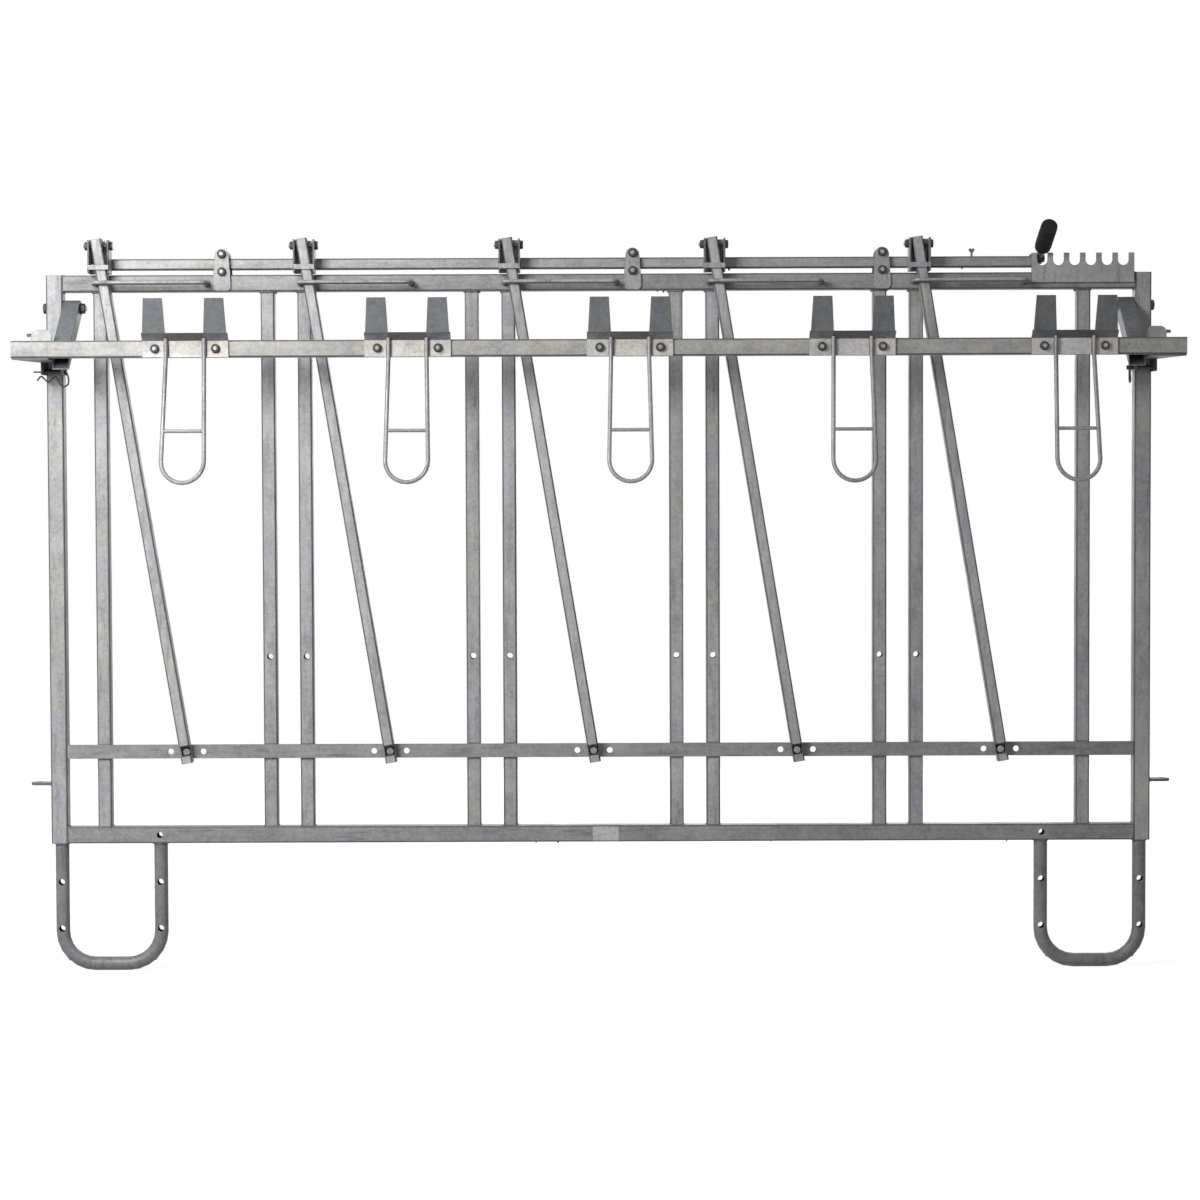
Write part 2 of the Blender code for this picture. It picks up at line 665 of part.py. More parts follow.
# Swing bars
def make_swing_bar(index):
    """Leaning bar, drawn upright on its pivot and then tipped by its lean."""
    bar_x = place_x(index)
    pivot = (bar_x, SWING_MID_Y, PIVOT_Z)
    top = PIVOT_Z + SWING_LENGTH
    slot_half = M8_RADIUS + BOLT_SLOT_CLEARANCE
    slot_bottom = STIRRUP_BOLT_Z - slot_half

    def draw_bar(mesh):
        add_square_tube(mesh, 2, (bar_x, SWING_MID_Y), (SWING_WIDTH, SWING_DEPTH), SWING_WALL,
                        PIVOT_Z - SWING_TAIL, top)

    def draw_cuts(mesh):
        add_box(mesh, (bar_x - SWING_WIDTH, SWING_MID_Y - slot_half, slot_bottom),
                (bar_x + SWING_WIDTH, SWING_MID_Y + slot_half, top + SWING_WIDTH))
        add_cylinder(mesh, 1, (bar_x, PIVOT_Z), M8_RADIUS + HOLE_CLEARANCE,
                     SWING_MID_Y, SWING_BACK_Y + SWING_WALL)

    def draw_window(mesh):
        """Opening for the bolt's head, through the front and the front half of both sides."""
        add_box(mesh, (bar_x - SWING_WIDTH, SWING_FRONT_Y - SWING_WALL, PIVOT_Z - PIVOT_WINDOW_BELOW),
                (bar_x + SWING_WIDTH, SWING_MID_Y, PIVOT_Z + PIVOT_WINDOW_ABOVE))

    bar = make(f"swing_bar_{index + 1}", "galvanised_steel", draw_bar, origin=pivot,
               turn=(0, -LEAN, 0))
    cut(bar, "slot_and_bore", draw_cuts)
    cut(bar, "pivot_window", draw_window)

    seat_y = SWING_BACK_Y - SWING_WALL - WELD_GAP
    nut_y = CROSS_BAR_BACK_Y + WELD_GAP
    make_bolt(f"pivot_bolt_{index + 1}", 1, (bar_x, PIVOT_Z), pivot,
              (seat_y - M8_HEAD_HEIGHT, seat_y), (nut_y, nut_y + M8_NUT_HEIGHT))


def make_bolt(name, axis, centre, origin, head, nut, radius=M8_RADIUS, head_radius=M8_HEAD_RADIUS):
    """Bolt along an axis, its shank running from inside the head to just past the nut."""
    low = sum(head) / 2
    high = nut[1] + BOLT_TAIL
    if nut[0] < head[0]:
        low = nut[0] - BOLT_TAIL
        high = sum(head) / 2

    def draw_shank(mesh):
        add_cylinder(mesh, axis, centre, radius, low, high)

    def draw_head(mesh):
        add_hexagon(mesh, axis, centre, head_radius, *head)

    def draw_nut(mesh):
        add_hexagon(mesh, axis, centre, head_radius, *nut)

    bolt = make(name, "zinc_plated_steel", draw_shank, origin=origin)
    join(bolt, "head", draw_head)
    join(bolt, "nut", draw_nut)


# Control bar with its bearings, stirrups and screw
def make_control_bar():
    half = CONTROL_BAR / 2
    lug_left = LUG_RIGHT_X - LUG_PLATE

    def draw_bar(mesh):
        add_square_tube(mesh, 0, (0, CONTROL_BAR_Z), (CONTROL_BAR, CONTROL_BAR), CONTROL_BAR_WALL,
                        CONTROL_BAR_LEFT, lug_left + LUG_PLATE / 2)

    def draw_lug(mesh):
        reach = half + WELD_LAP
        outline = [(-reach, CONTROL_BAR_Z - reach), (HANDLE_PIVOT_Y, CONTROL_BAR_Z - reach)]
        outline += arc((HANDLE_PIVOT_Y, HANDLE_PIVOT_Z), LUG_END_RADIUS, -60, 90, 8)
        outline += [(-reach, CONTROL_BAR_Z + reach)]
        add_prism(mesh, outline, 0, lug_left, LUG_RIGHT_X)

    def draw_lug_bore(mesh):
        add_cylinder(mesh, 0, (HANDLE_PIVOT_Y, HANDLE_PIVOT_Z), M8_RADIUS + HOLE_CLEARANCE,
                     lug_left - LUG_PLATE, LUG_RIGHT_X + LUG_PLATE)

    bar = make("control_bar", "galvanised_steel", draw_bar, origin=(0, 0, CONTROL_BAR_Z))
    join(bar, "handle_lug", draw_lug)
    cut(bar, "lug_bore", draw_lug_bore)

    screw_foot = CONTROL_BAR_Z + half + WELD_GAP
    screw_top = screw_foot + STOP_SCREW_HEIGHT
    wing_foot = screw_top - STOP_SCREW_WINGS

    def draw_screw(mesh):
        add_cylinder(mesh, 2, (STOP_SCREW_X, 0), STOP_SCREW_RADIUS, screw_foot,
                     wing_foot + STOP_SCREW_RADIUS, sides=12)

    def draw_wings(mesh):
        """Two wings that spread from the shank to the screw's top, with a dip between them."""
        reach = STOP_SCREW_WING_SPAN / 2
        shoulder = wing_foot + STOP_SCREW_WINGS / 2
        side = [(STOP_SCREW_RADIUS, wing_foot), (reach, shoulder), (reach, screw_top - STOP_SCREW_RADIUS),
                (reach / 2, screw_top)]
        outline = [(x, z) for x, z in side] + [(0, screw_top - STOP_SCREW_WING_DIP)]
        outline += [(-x, z) for x, z in reversed(side)]
        add_prism(mesh, [(STOP_SCREW_X + x, z) for x, z in outline], 1,
                  -STOP_SCREW_WING_THICKNESS / 2, STOP_SCREW_WING_THICKNESS / 2)

    screw = make("control_bar_screw", "zinc_plated_steel", draw_screw,
                 origin=(STOP_SCREW_X, 0, CONTROL_BAR_Z))
    join(screw, "wings", draw_wings)


def make_bearing(index):
    """Two plates across the control bar, held apart by a bolt under it and one over it."""
    place, offset = BEARING_PLACES[index]
    middle = place_x(place) + offset
    front = PLATE_FRONT_Y - BEARING_PLATE
    back = RAIL_BACK_Y + WELD_GAP
    low_bolt = BEARING_BOLT_Z
    high_bolt = CONTROL_BAR_Z + CONTROL_BAR / 2 + BEARING_TOP_CLEARANCE + M8_RADIUS
    bottom = FRAME_TOP - BEARING_DROP

    def outline():
        neck = BEARING_WIDTH / 2
        base = BEARING_BASE_WIDTH / 2
        shoulder = bottom + BEARING_BASE_HEIGHT
        corner = BEARING_BASE_CORNER
        points = arc((middle - base + corner, bottom + corner), corner, 180, 270, 4)
        points += arc((middle + base - corner, bottom + corner), corner, 270, 360, 4)
        points += [(middle + base, shoulder)]
        points += arc((middle, high_bolt + BEARING_ROUND_TOP - neck), neck, 0, 180, 10)
        points += [(middle - base, shoulder)]
        return points

    def draw_front(mesh):
        add_prism(mesh, outline(), 1, front, front + BEARING_PLATE)

    def draw_rest(mesh):
        add_prism(mesh, outline(), 1, back, back + BEARING_PLATE)

    def draw_bolts(mesh):
        for height in (low_bolt, high_bolt):
            add_cylinder(mesh, 1, (middle, height), M8_RADIUS, front - M8_HEAD_HEIGHT / 2,
                         back + BEARING_PLATE + M8_NUT_HEIGHT / 2)

    def draw_heads(mesh):
        for height in (low_bolt, high_bolt):
            add_hexagon(mesh, 1, (middle, height), M8_HEAD_RADIUS,
                        front - M8_HEAD_HEIGHT, front + BEARING_PLATE / 3)
            add_hexagon(mesh, 1, (middle, height), M8_HEAD_RADIUS,
                        back + BEARING_PLATE * 2 / 3, back + BEARING_PLATE + M8_NUT_HEIGHT)

    bearing = make(f"bearing_plate_{index + 1}", "galvanised_steel", draw_front,
                   origin=(middle, 0, CONTROL_BAR_Z))
    join(bearing, "bolts", draw_bolts)
    join(bearing, "back_plate", draw_rest)
    join(bearing, "heads_and_nuts", draw_heads)


def make_stirrup(index):
    """Sheet stirrup around a swing bar, with a bolt across the bar's open top."""
    middle = stirrup_x(index)
    plate_height = STIRRUP_TOP - STIRRUP_BOTTOM
    inner = (SWING_WIDTH / cos(LEAN) + plate_height * tan(LEAN)) / 2 + STIRRUP_SIDE_CLEARANCE
    outer = inner + STIRRUP_PLATE
    web_back = -CONTROL_BAR / 2 - WELD_GAP
    web_front = web_back - STIRRUP_PLATE
    strap_back = SWING_FRONT_Y - STRAP_CLEARANCE
    strap_front = strap_back - STIRRUP_PLATE
    side_front = (strap_back + strap_front) / 2

    def draw_channel(mesh):
        outline = [(outer, web_back), (-outer, web_back), (-outer, side_front), (-inner, side_front),
                   (-inner, web_front), (inner, web_front), (inner, side_front), (outer, side_front)]
        add_prism(mesh, [(middle + x, y) for x, y in outline], 2, STIRRUP_BOTTOM, STIRRUP_TOP)

    def draw_strap(mesh):
        reach = outer - WELD_LAP
        add_box(mesh, (middle - reach, strap_front, STRAP_BOTTOM),
                (middle + reach, strap_back, STRAP_BOTTOM + STRAP_HEIGHT))

    def draw_bore(mesh):
        add_cylinder(mesh, 0, (SWING_MID_Y, STIRRUP_BOLT_Z), M8_RADIUS + HOLE_CLEARANCE,
                     middle - 2 * outer, middle + 2 * outer)

    centre = (middle, SWING_MID_Y, STIRRUP_BOLT_Z)
    stirrup = make(f"bar_stirrup_{index + 1}", "galvanised_steel", draw_channel, origin=centre)
    join(stirrup, "strap", draw_strap)
    cut(stirrup, "bolt_bore", draw_bore)
    nut_seat = middle - outer - WELD_GAP
    head_seat = middle + outer + WELD_GAP
    make_bolt(f"stirrup_bolt_{index + 1}", 0, (SWING_MID_Y, STIRRUP_BOLT_Z), centre,
              (head_seat, head_seat + M8_HEAD_HEIGHT), (nut_seat - M8_NUT_HEIGHT, nut_seat))


# Comb and handle
def make_comb():
    """Plate with a row of round-bottomed notches, welded to the top rail's front."""
    half = NOTCH_WIDTH / 2
    left = FIRST_NOTCH_X - NOTCH_PITCH / 2 - (NOTCH_PITCH - NOTCH_WIDTH) / 2
    notch_centre_z = COMB_TIPS - NOTCH_DEPTH + half
    outline = [(left, COMB_BOTTOM), (COMB_RIGHT, COMB_BOTTOM), (COMB_RIGHT, COMB_TIPS)]
    for index in reversed(range(NOTCHES)):
        middle = FIRST_NOTCH_X + index * NOTCH_PITCH
        outline.append((middle + half, COMB_TIPS))
        outline += arc((middle, notch_centre_z), half, 0, -180, 10)
        outline.append((middle - half, COMB_TIPS))
    outline.append((left, COMB_TIPS))

    def draw_comb(mesh):
        add_prism(mesh, outline, 1, PLATE_FRONT_Y - COMB_PLATE, PLATE_FRONT_Y)

    make("notched_comb", "galvanised_steel", draw_comb,
         origin=(FIRST_NOTCH_X, PLATE_FRONT_Y, COMB_TIPS))


def make_handle():
    """Lever, grip and hinge bolt, drawn level and then raised to the rest angle."""
    pivot = (LEVER_X, HANDLE_PIVOT_Y, HANDLE_PIVOT_Z)
    grip_end = HANDLE_PIVOT_Y - GRIP_START - GRIP_LENGTH
    lever_end = grip_end + GRIP_END_WALL + WELD_GAP
    raised = (-HANDLE_REST_ANGLE, 0, 0)

    def draw_rod(mesh):
        add_cylinder(mesh, 1, (LEVER_X, HANDLE_PIVOT_Z), LEVER_RADIUS, lever_end,
                     HANDLE_PIVOT_Y - LEVER_EYE_RADIUS + LEVER_EYE_LAP)

    def draw_eye(mesh):
        add_cylinder(mesh, 0, (HANDLE_PIVOT_Y, HANDLE_PIVOT_Z), LEVER_EYE_RADIUS,
                     LEVER_X - LEVER_EYE_THICKNESS / 2, LEVER_X + LEVER_EYE_THICKNESS / 2, sides=20)

    def draw_bore(mesh):
        add_cylinder(mesh, 0, (HANDLE_PIVOT_Y, HANDLE_PIVOT_Z), M8_RADIUS + HOLE_CLEARANCE,
                     LEVER_X - LEVER_EYE_THICKNESS, LEVER_X + LEVER_EYE_THICKNESS)

    lever = make("handle_lever", "galvanised_steel", draw_rod, origin=pivot, turn=raised)
    join(lever, "eye", draw_eye)
    cut(lever, "bore", draw_bore)

    def draw_grip(mesh):
        add_cylinder(mesh, 1, (LEVER_X, HANDLE_PIVOT_Z), GRIP_RADIUS, grip_end,
                     grip_end + GRIP_LENGTH, sides=24)

    def draw_grip_bore(mesh):
        add_cylinder(mesh, 1, (LEVER_X, HANDLE_PIVOT_Z), LEVER_RADIUS + HOLE_CLEARANCE,
                     grip_end + GRIP_END_WALL, HANDLE_PIVOT_Y)

    grip = make("handle_grip", "rubber", draw_grip, origin=pivot, turn=raised, smooth=True)
    cut(grip, "bore", draw_grip_bore)

    nut_seat = LUG_RIGHT_X - LUG_PLATE - WELD_GAP
    head_seat = LEVER_X + LEVER_EYE_THICKNESS / 2 + WELD_GAP
    make_bolt("handle_bolt", 0, (HANDLE_PIVOT_Y, HANDLE_PIVOT_Z), pivot,
              (head_seat, head_seat + M8_HEAD_HEIGHT), (nut_seat - M8_NUT_HEIGHT, nut_seat))


# Front rail with its brackets, arms, pins and clips
def make_front_rail():
    """Square tube with an end bracket at each post, all welded into one piece."""
    rail_bottom = FRONT_RAIL_BOTTOM
    gusset_top = rail_bottom + TUBE_WALL / 2
    gusset_bottom = gusset_top - GUSSET_PLATE
    ear_inner = POST / 2 + BRACKET_CLEARANCE
    ear_outer = ear_inner + BRACKET_PLATE
    post_front = -POST / 2 - BRACKET_CLEARANCE
    inner_edge = POST_X - ear_outer - WELD_LAP
    arm_edge = ARM_OUTER_X + 5 * WELD_GAP

    def draw_rail(mesh):
        add_square_tube(mesh, 0, (FRONT_RAIL_FACE_Y + RAIL / 2, FRONT_RAIL_Z), (RAIL, RAIL),
                        TUBE_WALL, -FRONT_RAIL_HALF, FRONT_RAIL_HALF)

    def draw_gussets(mesh):
        front = FRONT_RAIL_FACE_Y + TUBE_CORNER
        for side in (-1, 1):
            outline = [(FRONT_RAIL_HALF - WELD_LAP, front), (GUSSET_REAR_X, post_front),
                       (inner_edge, post_front),
                       (inner_edge, GUSSET_STEP_Y), (arm_edge, GUSSET_STEP_Y - BRACKET_PLATE),
                       (arm_edge, front)]
            add_prism(mesh, [(side * x, y) for x, y in outline], 2, gusset_bottom, gusset_top)

    def draw_ears(mesh):
        for side in (-1, 1):
            for sign in (-1, 1):
                near = side * POST_X + sign * ear_inner
                far = side * POST_X + sign * ear_outer
                low_x, high_x = sorted((near, far))
                add_box(mesh, (low_x, EAR_FRONT_Y, EAR_BOTTOM),
                        (high_x, EAR_REAR_Y, gusset_bottom + GUSSET_PLATE / 2))

    def draw_saddles(mesh):
        back = FRONT_RAIL_BACK_Y + SADDLE_PLATE - TUBE_WALL / 2
        foot = gusset_bottom + GUSSET_PLATE / 2
        near = ARM_OUTER_X + ARM_SIDE_CLEARANCE
        for side in (-1, 1):
            low_x, high_x = sorted((side * near, side * (near + SADDLE_WIDTH)))
            high_centre = SADDLE_TOP - SADDLE_CORNER
            outline = [(low_x, foot), (high_x, foot)]
            outline += arc((high_x - SADDLE_CORNER, high_centre), SADDLE_CORNER, 0, 90, 5)
            outline += arc((low_x + SADDLE_CORNER, high_centre), SADDLE_CORNER, 90, 180, 5)
            add_prism(mesh, outline, 1, back - SADDLE_PLATE, back)

    def draw_holes(mesh):
        for side in (-1, 1):
            add_cylinder(mesh, 0, (STOP_PIN_Y, STOP_PIN_Z), STOP_PIN_RADIUS + HOLE_CLEARANCE,
                         side * POST_X - 2 * POST, side * POST_X + 2 * POST)
        add_cylinder(mesh, 0, (LEFT_CLIP_Y, LEFT_CLIP_Z), CLIP_HOLE_RADIUS,
                     -POST_X - 2 * POST, -POST_X + 2 * POST, sides=WIRE_SIDES)

    rail = make("front_rail", "galvanised_steel", draw_rail, origin=(0, 0, ARM_PIVOT_Z))
    join(rail, "gussets", draw_gussets)
    join(rail, "saddles", draw_saddles)
    join(rail, "ears", draw_ears)
    cut(rail, "pin_holes", draw_holes)


def make_rail_arm(name, side):
    """Square tube from the post's hinge bolt down to the back of the front rail."""
    half = RAIL / 2
    end_y = FRONT_RAIL_BACK_Y + WELD_GAP
    low_x, high_x = sorted((side * ARM_INNER_X, side * ARM_OUTER_X))

    def side_outline(half_height, overrun):
        """Outline in Y and Z, square to the slope, with a round end at the bolt."""
        face_y = end_y - overrun
        drop = tan(ARM_SLOPE)
        shift = half_height / cos(ARM_SLOPE)
        outline = [(face_y, ARM_PIVOT_Z + face_y * drop + shift),
                   (face_y, ARM_PIVOT_Z + face_y * drop - shift)]
        slope = degrees(ARM_SLOPE)
        outline += arc((0, ARM_PIVOT_Z), half_height, -90 + slope, 90 + slope, 10)
        return outline

    def draw_arm(mesh):
        add_prism(mesh, side_outline(half, 0), 0, low_x, high_x)

    def draw_cavity(mesh):
        add_prism(mesh, side_outline(half - TUBE_WALL, RAIL / 2), 0,
                  low_x + TUBE_WALL, high_x - TUBE_WALL)

    def draw_bore(mesh):
        add_cylinder(mesh, 0, (0, ARM_PIVOT_Z), M10_RADIUS + HOLE_CLEARANCE,
                     low_x - half, high_x + half)

    arm = make(name, "galvanised_steel", draw_arm, origin=(side * ARM_OUTER_X, 0, ARM_PIVOT_Z))
    cut(arm, "cavity", draw_cavity)
    cut(arm, "bore", draw_bore)
    outer_seat = HALF_WIDTH + WELD_GAP
    inner_seat = ARM_INNER_X - WELD_GAP
    head = sorted((side * outer_seat, side * (outer_seat + M10_HEAD_HEIGHT)))
    nut = sorted((side * inner_seat, side * (inner_seat - M10_HEAD_HEIGHT)))
    make_bolt(name.replace("rail_arm", "arm_bolt"), 0, (0, ARM_PIVOT_Z),
              (side * POST_X, 0, ARM_PIVOT_Z), head, nut, M10_RADIUS, M10_HEAD_RADIUS)


def make_stop_pin(name, side, cross_hole):
    """Pin through both ears, which rests against the front of the post."""
    ear_outer = POST / 2 + BRACKET_CLEARANCE + BRACKET_PLATE + WELD_GAP
    middle = side * POST_X
    outer_head = sorted((middle + side * ear_outer, middle + side * (ear_outer + STOP_PIN_HEAD)))
    tail = STOP_PIN_TAIL if cross_hole else ear_outer + STOP_PIN_HEAD / 2
    low_x, high_x = sorted((sum(outer_head) / 2, middle - side * tail))

    def draw_pin(mesh):
        add_cylinder(mesh, 0, (STOP_PIN_Y, STOP_PIN_Z), STOP_PIN_RADIUS, low_x, high_x)

    def draw_heads(mesh):
        add_cylinder(mesh, 0, (STOP_PIN_Y, STOP_PIN_Z), STOP_PIN_HEAD_RADIUS, *outer_head)
        if not cross_hole:
            inner_head = [2 * middle - outer_head[1], 2 * middle - outer_head[0]]
            add_cylinder(mesh, 0, (STOP_PIN_Y, STOP_PIN_Z), STOP_PIN_HEAD_RADIUS, *inner_head)

    def draw_cross_hole(mesh):
        add_cylinder(mesh, 2, (middle - side * RIGHT_CLIP_OFFSET, STOP_PIN_Y), CLIP_HOLE_RADIUS,
                     STOP_PIN_Z - 2 * STOP_PIN_RADIUS, STOP_PIN_Z + 2 * STOP_PIN_RADIUS,
                     sides=WIRE_SIDES)

    pin = make(name, "zinc_plated_steel", draw_pin, origin=(middle, STOP_PIN_Y, STOP_PIN_Z))
    join(pin, "heads", draw_heads)
    if cross_hole:
        cut(pin, "cross_hole", draw_cross_hole)


def make_clips():
    """Two spring clips. The left one lies along the panel, the right one hangs from its pin."""
    left_wave = [(0.0205, 0), (0.0233, -0.0008), (0.0254, -0.0032), (0.0270, -0.0075),
                 (0.0283, -0.0155), (0.0268, -0.0225), (0.0210, -0.0262), (0.0142, -0.0240),
                 (0.0095, -0.0155), (0.0050, -0.0082), (-0.0015, -0.0128), (-0.0086, -0.0180),
                 (-0.0145, -0.0134), (-0.0215, -0.0078), (-0.0288, -0.0155)]
    left_centre = (-POST_X, LEFT_CLIP_Y, LEFT_CLIP_Z)

    def draw_left(mesh):
        leg = Vector((-LEFT_CLIP_LEG, 0, 0))
        path = [leg, leg / 3] + smooth_path([(x, 0, z) for x, z in left_wave], 3)
        path = [point + Vector(left_centre) for point in path]
        add_sweep(mesh, path, (0, 1, 0), CLIP_WIRE_RADIUS, WIRE_SIDES)

    right_wave = [(0, -0.0190), (-0.0008, -0.0222), (-0.0028, -0.0255), (-0.0066, -0.0272),
                  (-0.0104, -0.0250), (-0.0115, -0.0200), (-0.0082, -0.0110), (-0.0078, -0.0050),
                  (-0.0098, 0.0006), (-0.0078, 0.0062), (-0.0108, 0.0110)]
    right_centre = (POST_X - RIGHT_CLIP_OFFSET, STOP_PIN_Y, STOP_PIN_Z)

    def draw_right(mesh):
        path = [Vector((0, 0, RIGHT_CLIP_LEG))] + smooth_path([(0, y, z) for y, z in right_wave], 3)
        path = [point + Vector(right_centre) for point in path]
        add_sweep(mesh, path, (1, 0, 0), CLIP_WIRE_RADIUS, WIRE_SIDES)

    make("hairpin_clip_left", "spring_steel", draw_left, origin=left_centre, smooth=True)
    make("hairpin_clip_right", "spring_steel", draw_right, origin=right_centre, smooth=True)


# Bucket holders
def make_holder(index):
    """Bent plate on the front rail, with two tabs above it and a wire loop below it."""
    middle = holder_x(index)
    back = FRONT_RAIL_FACE_Y - WELD_GAP
    front = back - HOLDER_PLATE
    bottom = FRONT_RAIL_BOTTOM
    bend = FRONT_RAIL_Z + RAIL / 2
    strip_y = back - HOLDER_STRIP
    strip_z = bend + HOLDER_STRIP
    slant = HOLDER_PLATE / 2
    wire_y = front - LOOP_WIRE_RADIUS * cos(pi / WIRE_SIDES) + WELD_LAP

    def draw_plate(mesh):
        profile = [(back, bottom), (back, bend), (strip_y, strip_z), (strip_y - HOLDER_PLATE, strip_z),
                   (front, bend + slant - HOLDER_PLATE), (front, bottom)]
        add_prism(mesh, profile, 0, middle - HOLDER_HALF_WIDTH, middle + HOLDER_HALF_WIDTH)

    def draw_tabs(mesh):
        for side in (-1, 1):
            foot_z = strip_z - HOLDER_PLATE / 3
            corners = [(TAB_INNER_FOOT, foot_z), (TAB_OUTER_FOOT, foot_z),
                       (TAB_OUTER_TOP, TAB_TOP), (TAB_INNER_TOP, TAB_TOP)]
            rings = []
            for offset in (0, -HOLDER_PLATE):
                ring = []
                for x, z in corners:
                    lean = TAB_LEAN * (z - foot_z) / (TAB_TOP - foot_z)
                    ring.append(mesh.verts.new((middle + side * x, strip_y + offset - lean, z)))
                rings.append(ring)
                mesh.faces.new(ring)
            bridge(mesh, rings[0], rings[1])

    def loop_point(x, z):
        """A point on the loop, which hangs straight to the rail's foot and then leans out."""
        lean = LOOP_FORWARD * max(bottom - z, 0) / (bottom - LOOP_BOTTOM_Z)
        return (middle + x, wire_y - lean, z)

    def draw_loop(mesh):
        """One wire: down a leg, round the bottom and up the other leg."""
        turn_z = LOOP_BOTTOM_Z + LOOP_WIRE_RADIUS + LOOP_FOOT_SPREAD
        left = [(-LOOP_TOP_SPREAD, LOOP_TOP_Z), (-LOOP_TOP_SPREAD, bottom)]
        turn = arc((0, turn_z), LOOP_FOOT_SPREAD, 180, 360, 14)
        right = [(LOOP_TOP_SPREAD, bottom), (LOOP_TOP_SPREAD, LOOP_TOP_Z)]
        path = [Vector(loop_point(x, z)) for x, z in left + turn + right]
        add_bent_wire(mesh, path, LOOP_WIRE_RADIUS, WIRE_SIDES)

    def draw_cross_wire(mesh):
        share = (bottom - LOOP_CROSS_WIRE_Z) / (bottom - LOOP_BOTTOM_Z)
        spread = LOOP_TOP_SPREAD + (LOOP_FOOT_SPREAD - LOOP_TOP_SPREAD) * share
        y = loop_point(0, LOOP_CROSS_WIRE_Z)[1]
        add_cylinder(mesh, 0, (y, LOOP_CROSS_WIRE_Z), LOOP_WIRE_RADIUS * 0.8,
                     middle - spread, middle + spread, sides=WIRE_SIDES)

    def draw_bolts(mesh):
        for side in (-1, 1):
            centre = (middle + side * HOLDER_BOLT_OFFSET, FRONT_RAIL_Z)
            add_hexagon(mesh, 1, centre, M8_HEAD_RADIUS, front - M8_HEAD_HEIGHT,
                        front + HOLDER_PLATE / 3)

    holder = make(f"bucket_holder_{index + 1}", "galvanised_steel", draw_plate,
                  origin=(middle, back, FRONT_RAIL_Z))
    join(holder, "tabs", draw_tabs)
    join(holder, "loop", draw_loop)
    join(holder, "cross_wire", draw_cross_wire)
    join(holder, "bolt_heads", draw_bolts)


def add_bent_wire(mesh, path, radius, sides):
    """Round wire along a path that leaves its plane a little, so rings follow each bend."""
    rings = []
    reference = Vector((0, 1, 0))
    for index, point in enumerate(path):
        before = path[max(index - 1, 0)]
        after = path[min(index + 1, len(path) - 1)]
        along = (after - before).normalized()
        across = (reference - along * reference.dot(along)).normalized()
        side = along.cross(across)
        ring = []
        for step in range(sides):
            angle = 2 * pi * (step + 0.5) / sides
            ring.append(mesh.verts.new(point + across * (radius * cos(angle))
                                       + side * (radius * sin(angle))))
        rings.append(ring)
    for first, second in zip(rings, rings[1:]):
        bridge(mesh, first, second)
    mesh.faces.new(rings[0])
    mesh.faces.new(rings[-1])


def centre_on_datum():
    """Move the datum so that the finished panel's box is centred on X and Y."""
    bpy.context.view_layer.update()
    pieces = [piece for piece in bpy.data.objects if piece.type == "MESH" and not piece.hide_render]
    graph = bpy.context.evaluated_depsgraph_get()
    corners = []
    for piece in pieces:
        evaluated = piece.evaluated_get(graph)
        corners += [evaluated.matrix_world @ vertex.co for vertex in evaluated.data.vertices]
    for axis in (0, 1):
        values = [corner[axis] for corner in corners]
        datum.location[axis] -= (min(values) + max(values)) / 2
    bpy.context.view_layer.update()


def main():
    make_post("left_post", -1)
    make_post("right_post", 1)
    make_rails()
    make_uprights()
    make_foot("foot_left", -1)
    make_foot("foot_right", 1)
    for index in range(PLACES):
        make_swing_bar(index)
        make_stirrup(index)
    make_control_bar()
    for index in range(len(BEARING_PLACES)):
        make_bearing(index)
    make_comb()
    make_handle()
    make_front_rail()
    make_rail_arm("rail_arm_left", -1)
    make_rail_arm("rail_arm_right", 1)
    make_stop_pin("stop_pin_left", -1, cross_hole=False)
    make_stop_pin("stop_pin_right", 1, cross_hole=True)
    make_clips()
    for index in range(HOLDERS):
        make_holder(index)
    centre_on_datum()


main()
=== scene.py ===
"""Finish, weld beads, bolts, zinc drips, label and stage for a calf feed front.

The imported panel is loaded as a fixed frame. Each of its nodes is shown as a smooth, slightly
rounded copy in a procedural finish, and the small things that only the eye needs are added.
Units are metres. X runs along the panel, -Y is the feeding side and +Z is up.
"""

import json
from math import cos, pi, radians, sin

import bmesh
import bpy
from bpy.props import FloatProperty, FloatVectorProperty, IntProperty, PointerProperty, StringProperty
from mathutils import Matrix, Vector


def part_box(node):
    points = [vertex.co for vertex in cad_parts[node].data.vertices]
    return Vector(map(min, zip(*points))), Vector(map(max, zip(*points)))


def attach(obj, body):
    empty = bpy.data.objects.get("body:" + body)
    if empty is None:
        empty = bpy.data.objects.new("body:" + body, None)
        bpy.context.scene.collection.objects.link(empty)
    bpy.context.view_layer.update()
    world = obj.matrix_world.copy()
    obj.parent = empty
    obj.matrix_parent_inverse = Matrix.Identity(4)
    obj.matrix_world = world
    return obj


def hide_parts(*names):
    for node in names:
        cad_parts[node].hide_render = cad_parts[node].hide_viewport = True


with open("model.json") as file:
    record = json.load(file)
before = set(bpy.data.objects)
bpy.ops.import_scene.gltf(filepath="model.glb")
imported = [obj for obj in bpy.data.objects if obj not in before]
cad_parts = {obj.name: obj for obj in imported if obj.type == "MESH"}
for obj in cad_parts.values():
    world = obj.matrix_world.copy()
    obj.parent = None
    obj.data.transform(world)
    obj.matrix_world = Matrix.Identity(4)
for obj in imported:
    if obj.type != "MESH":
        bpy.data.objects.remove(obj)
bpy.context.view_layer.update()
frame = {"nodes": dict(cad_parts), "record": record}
NODES = frame["nodes"]
RECORD = frame["record"]

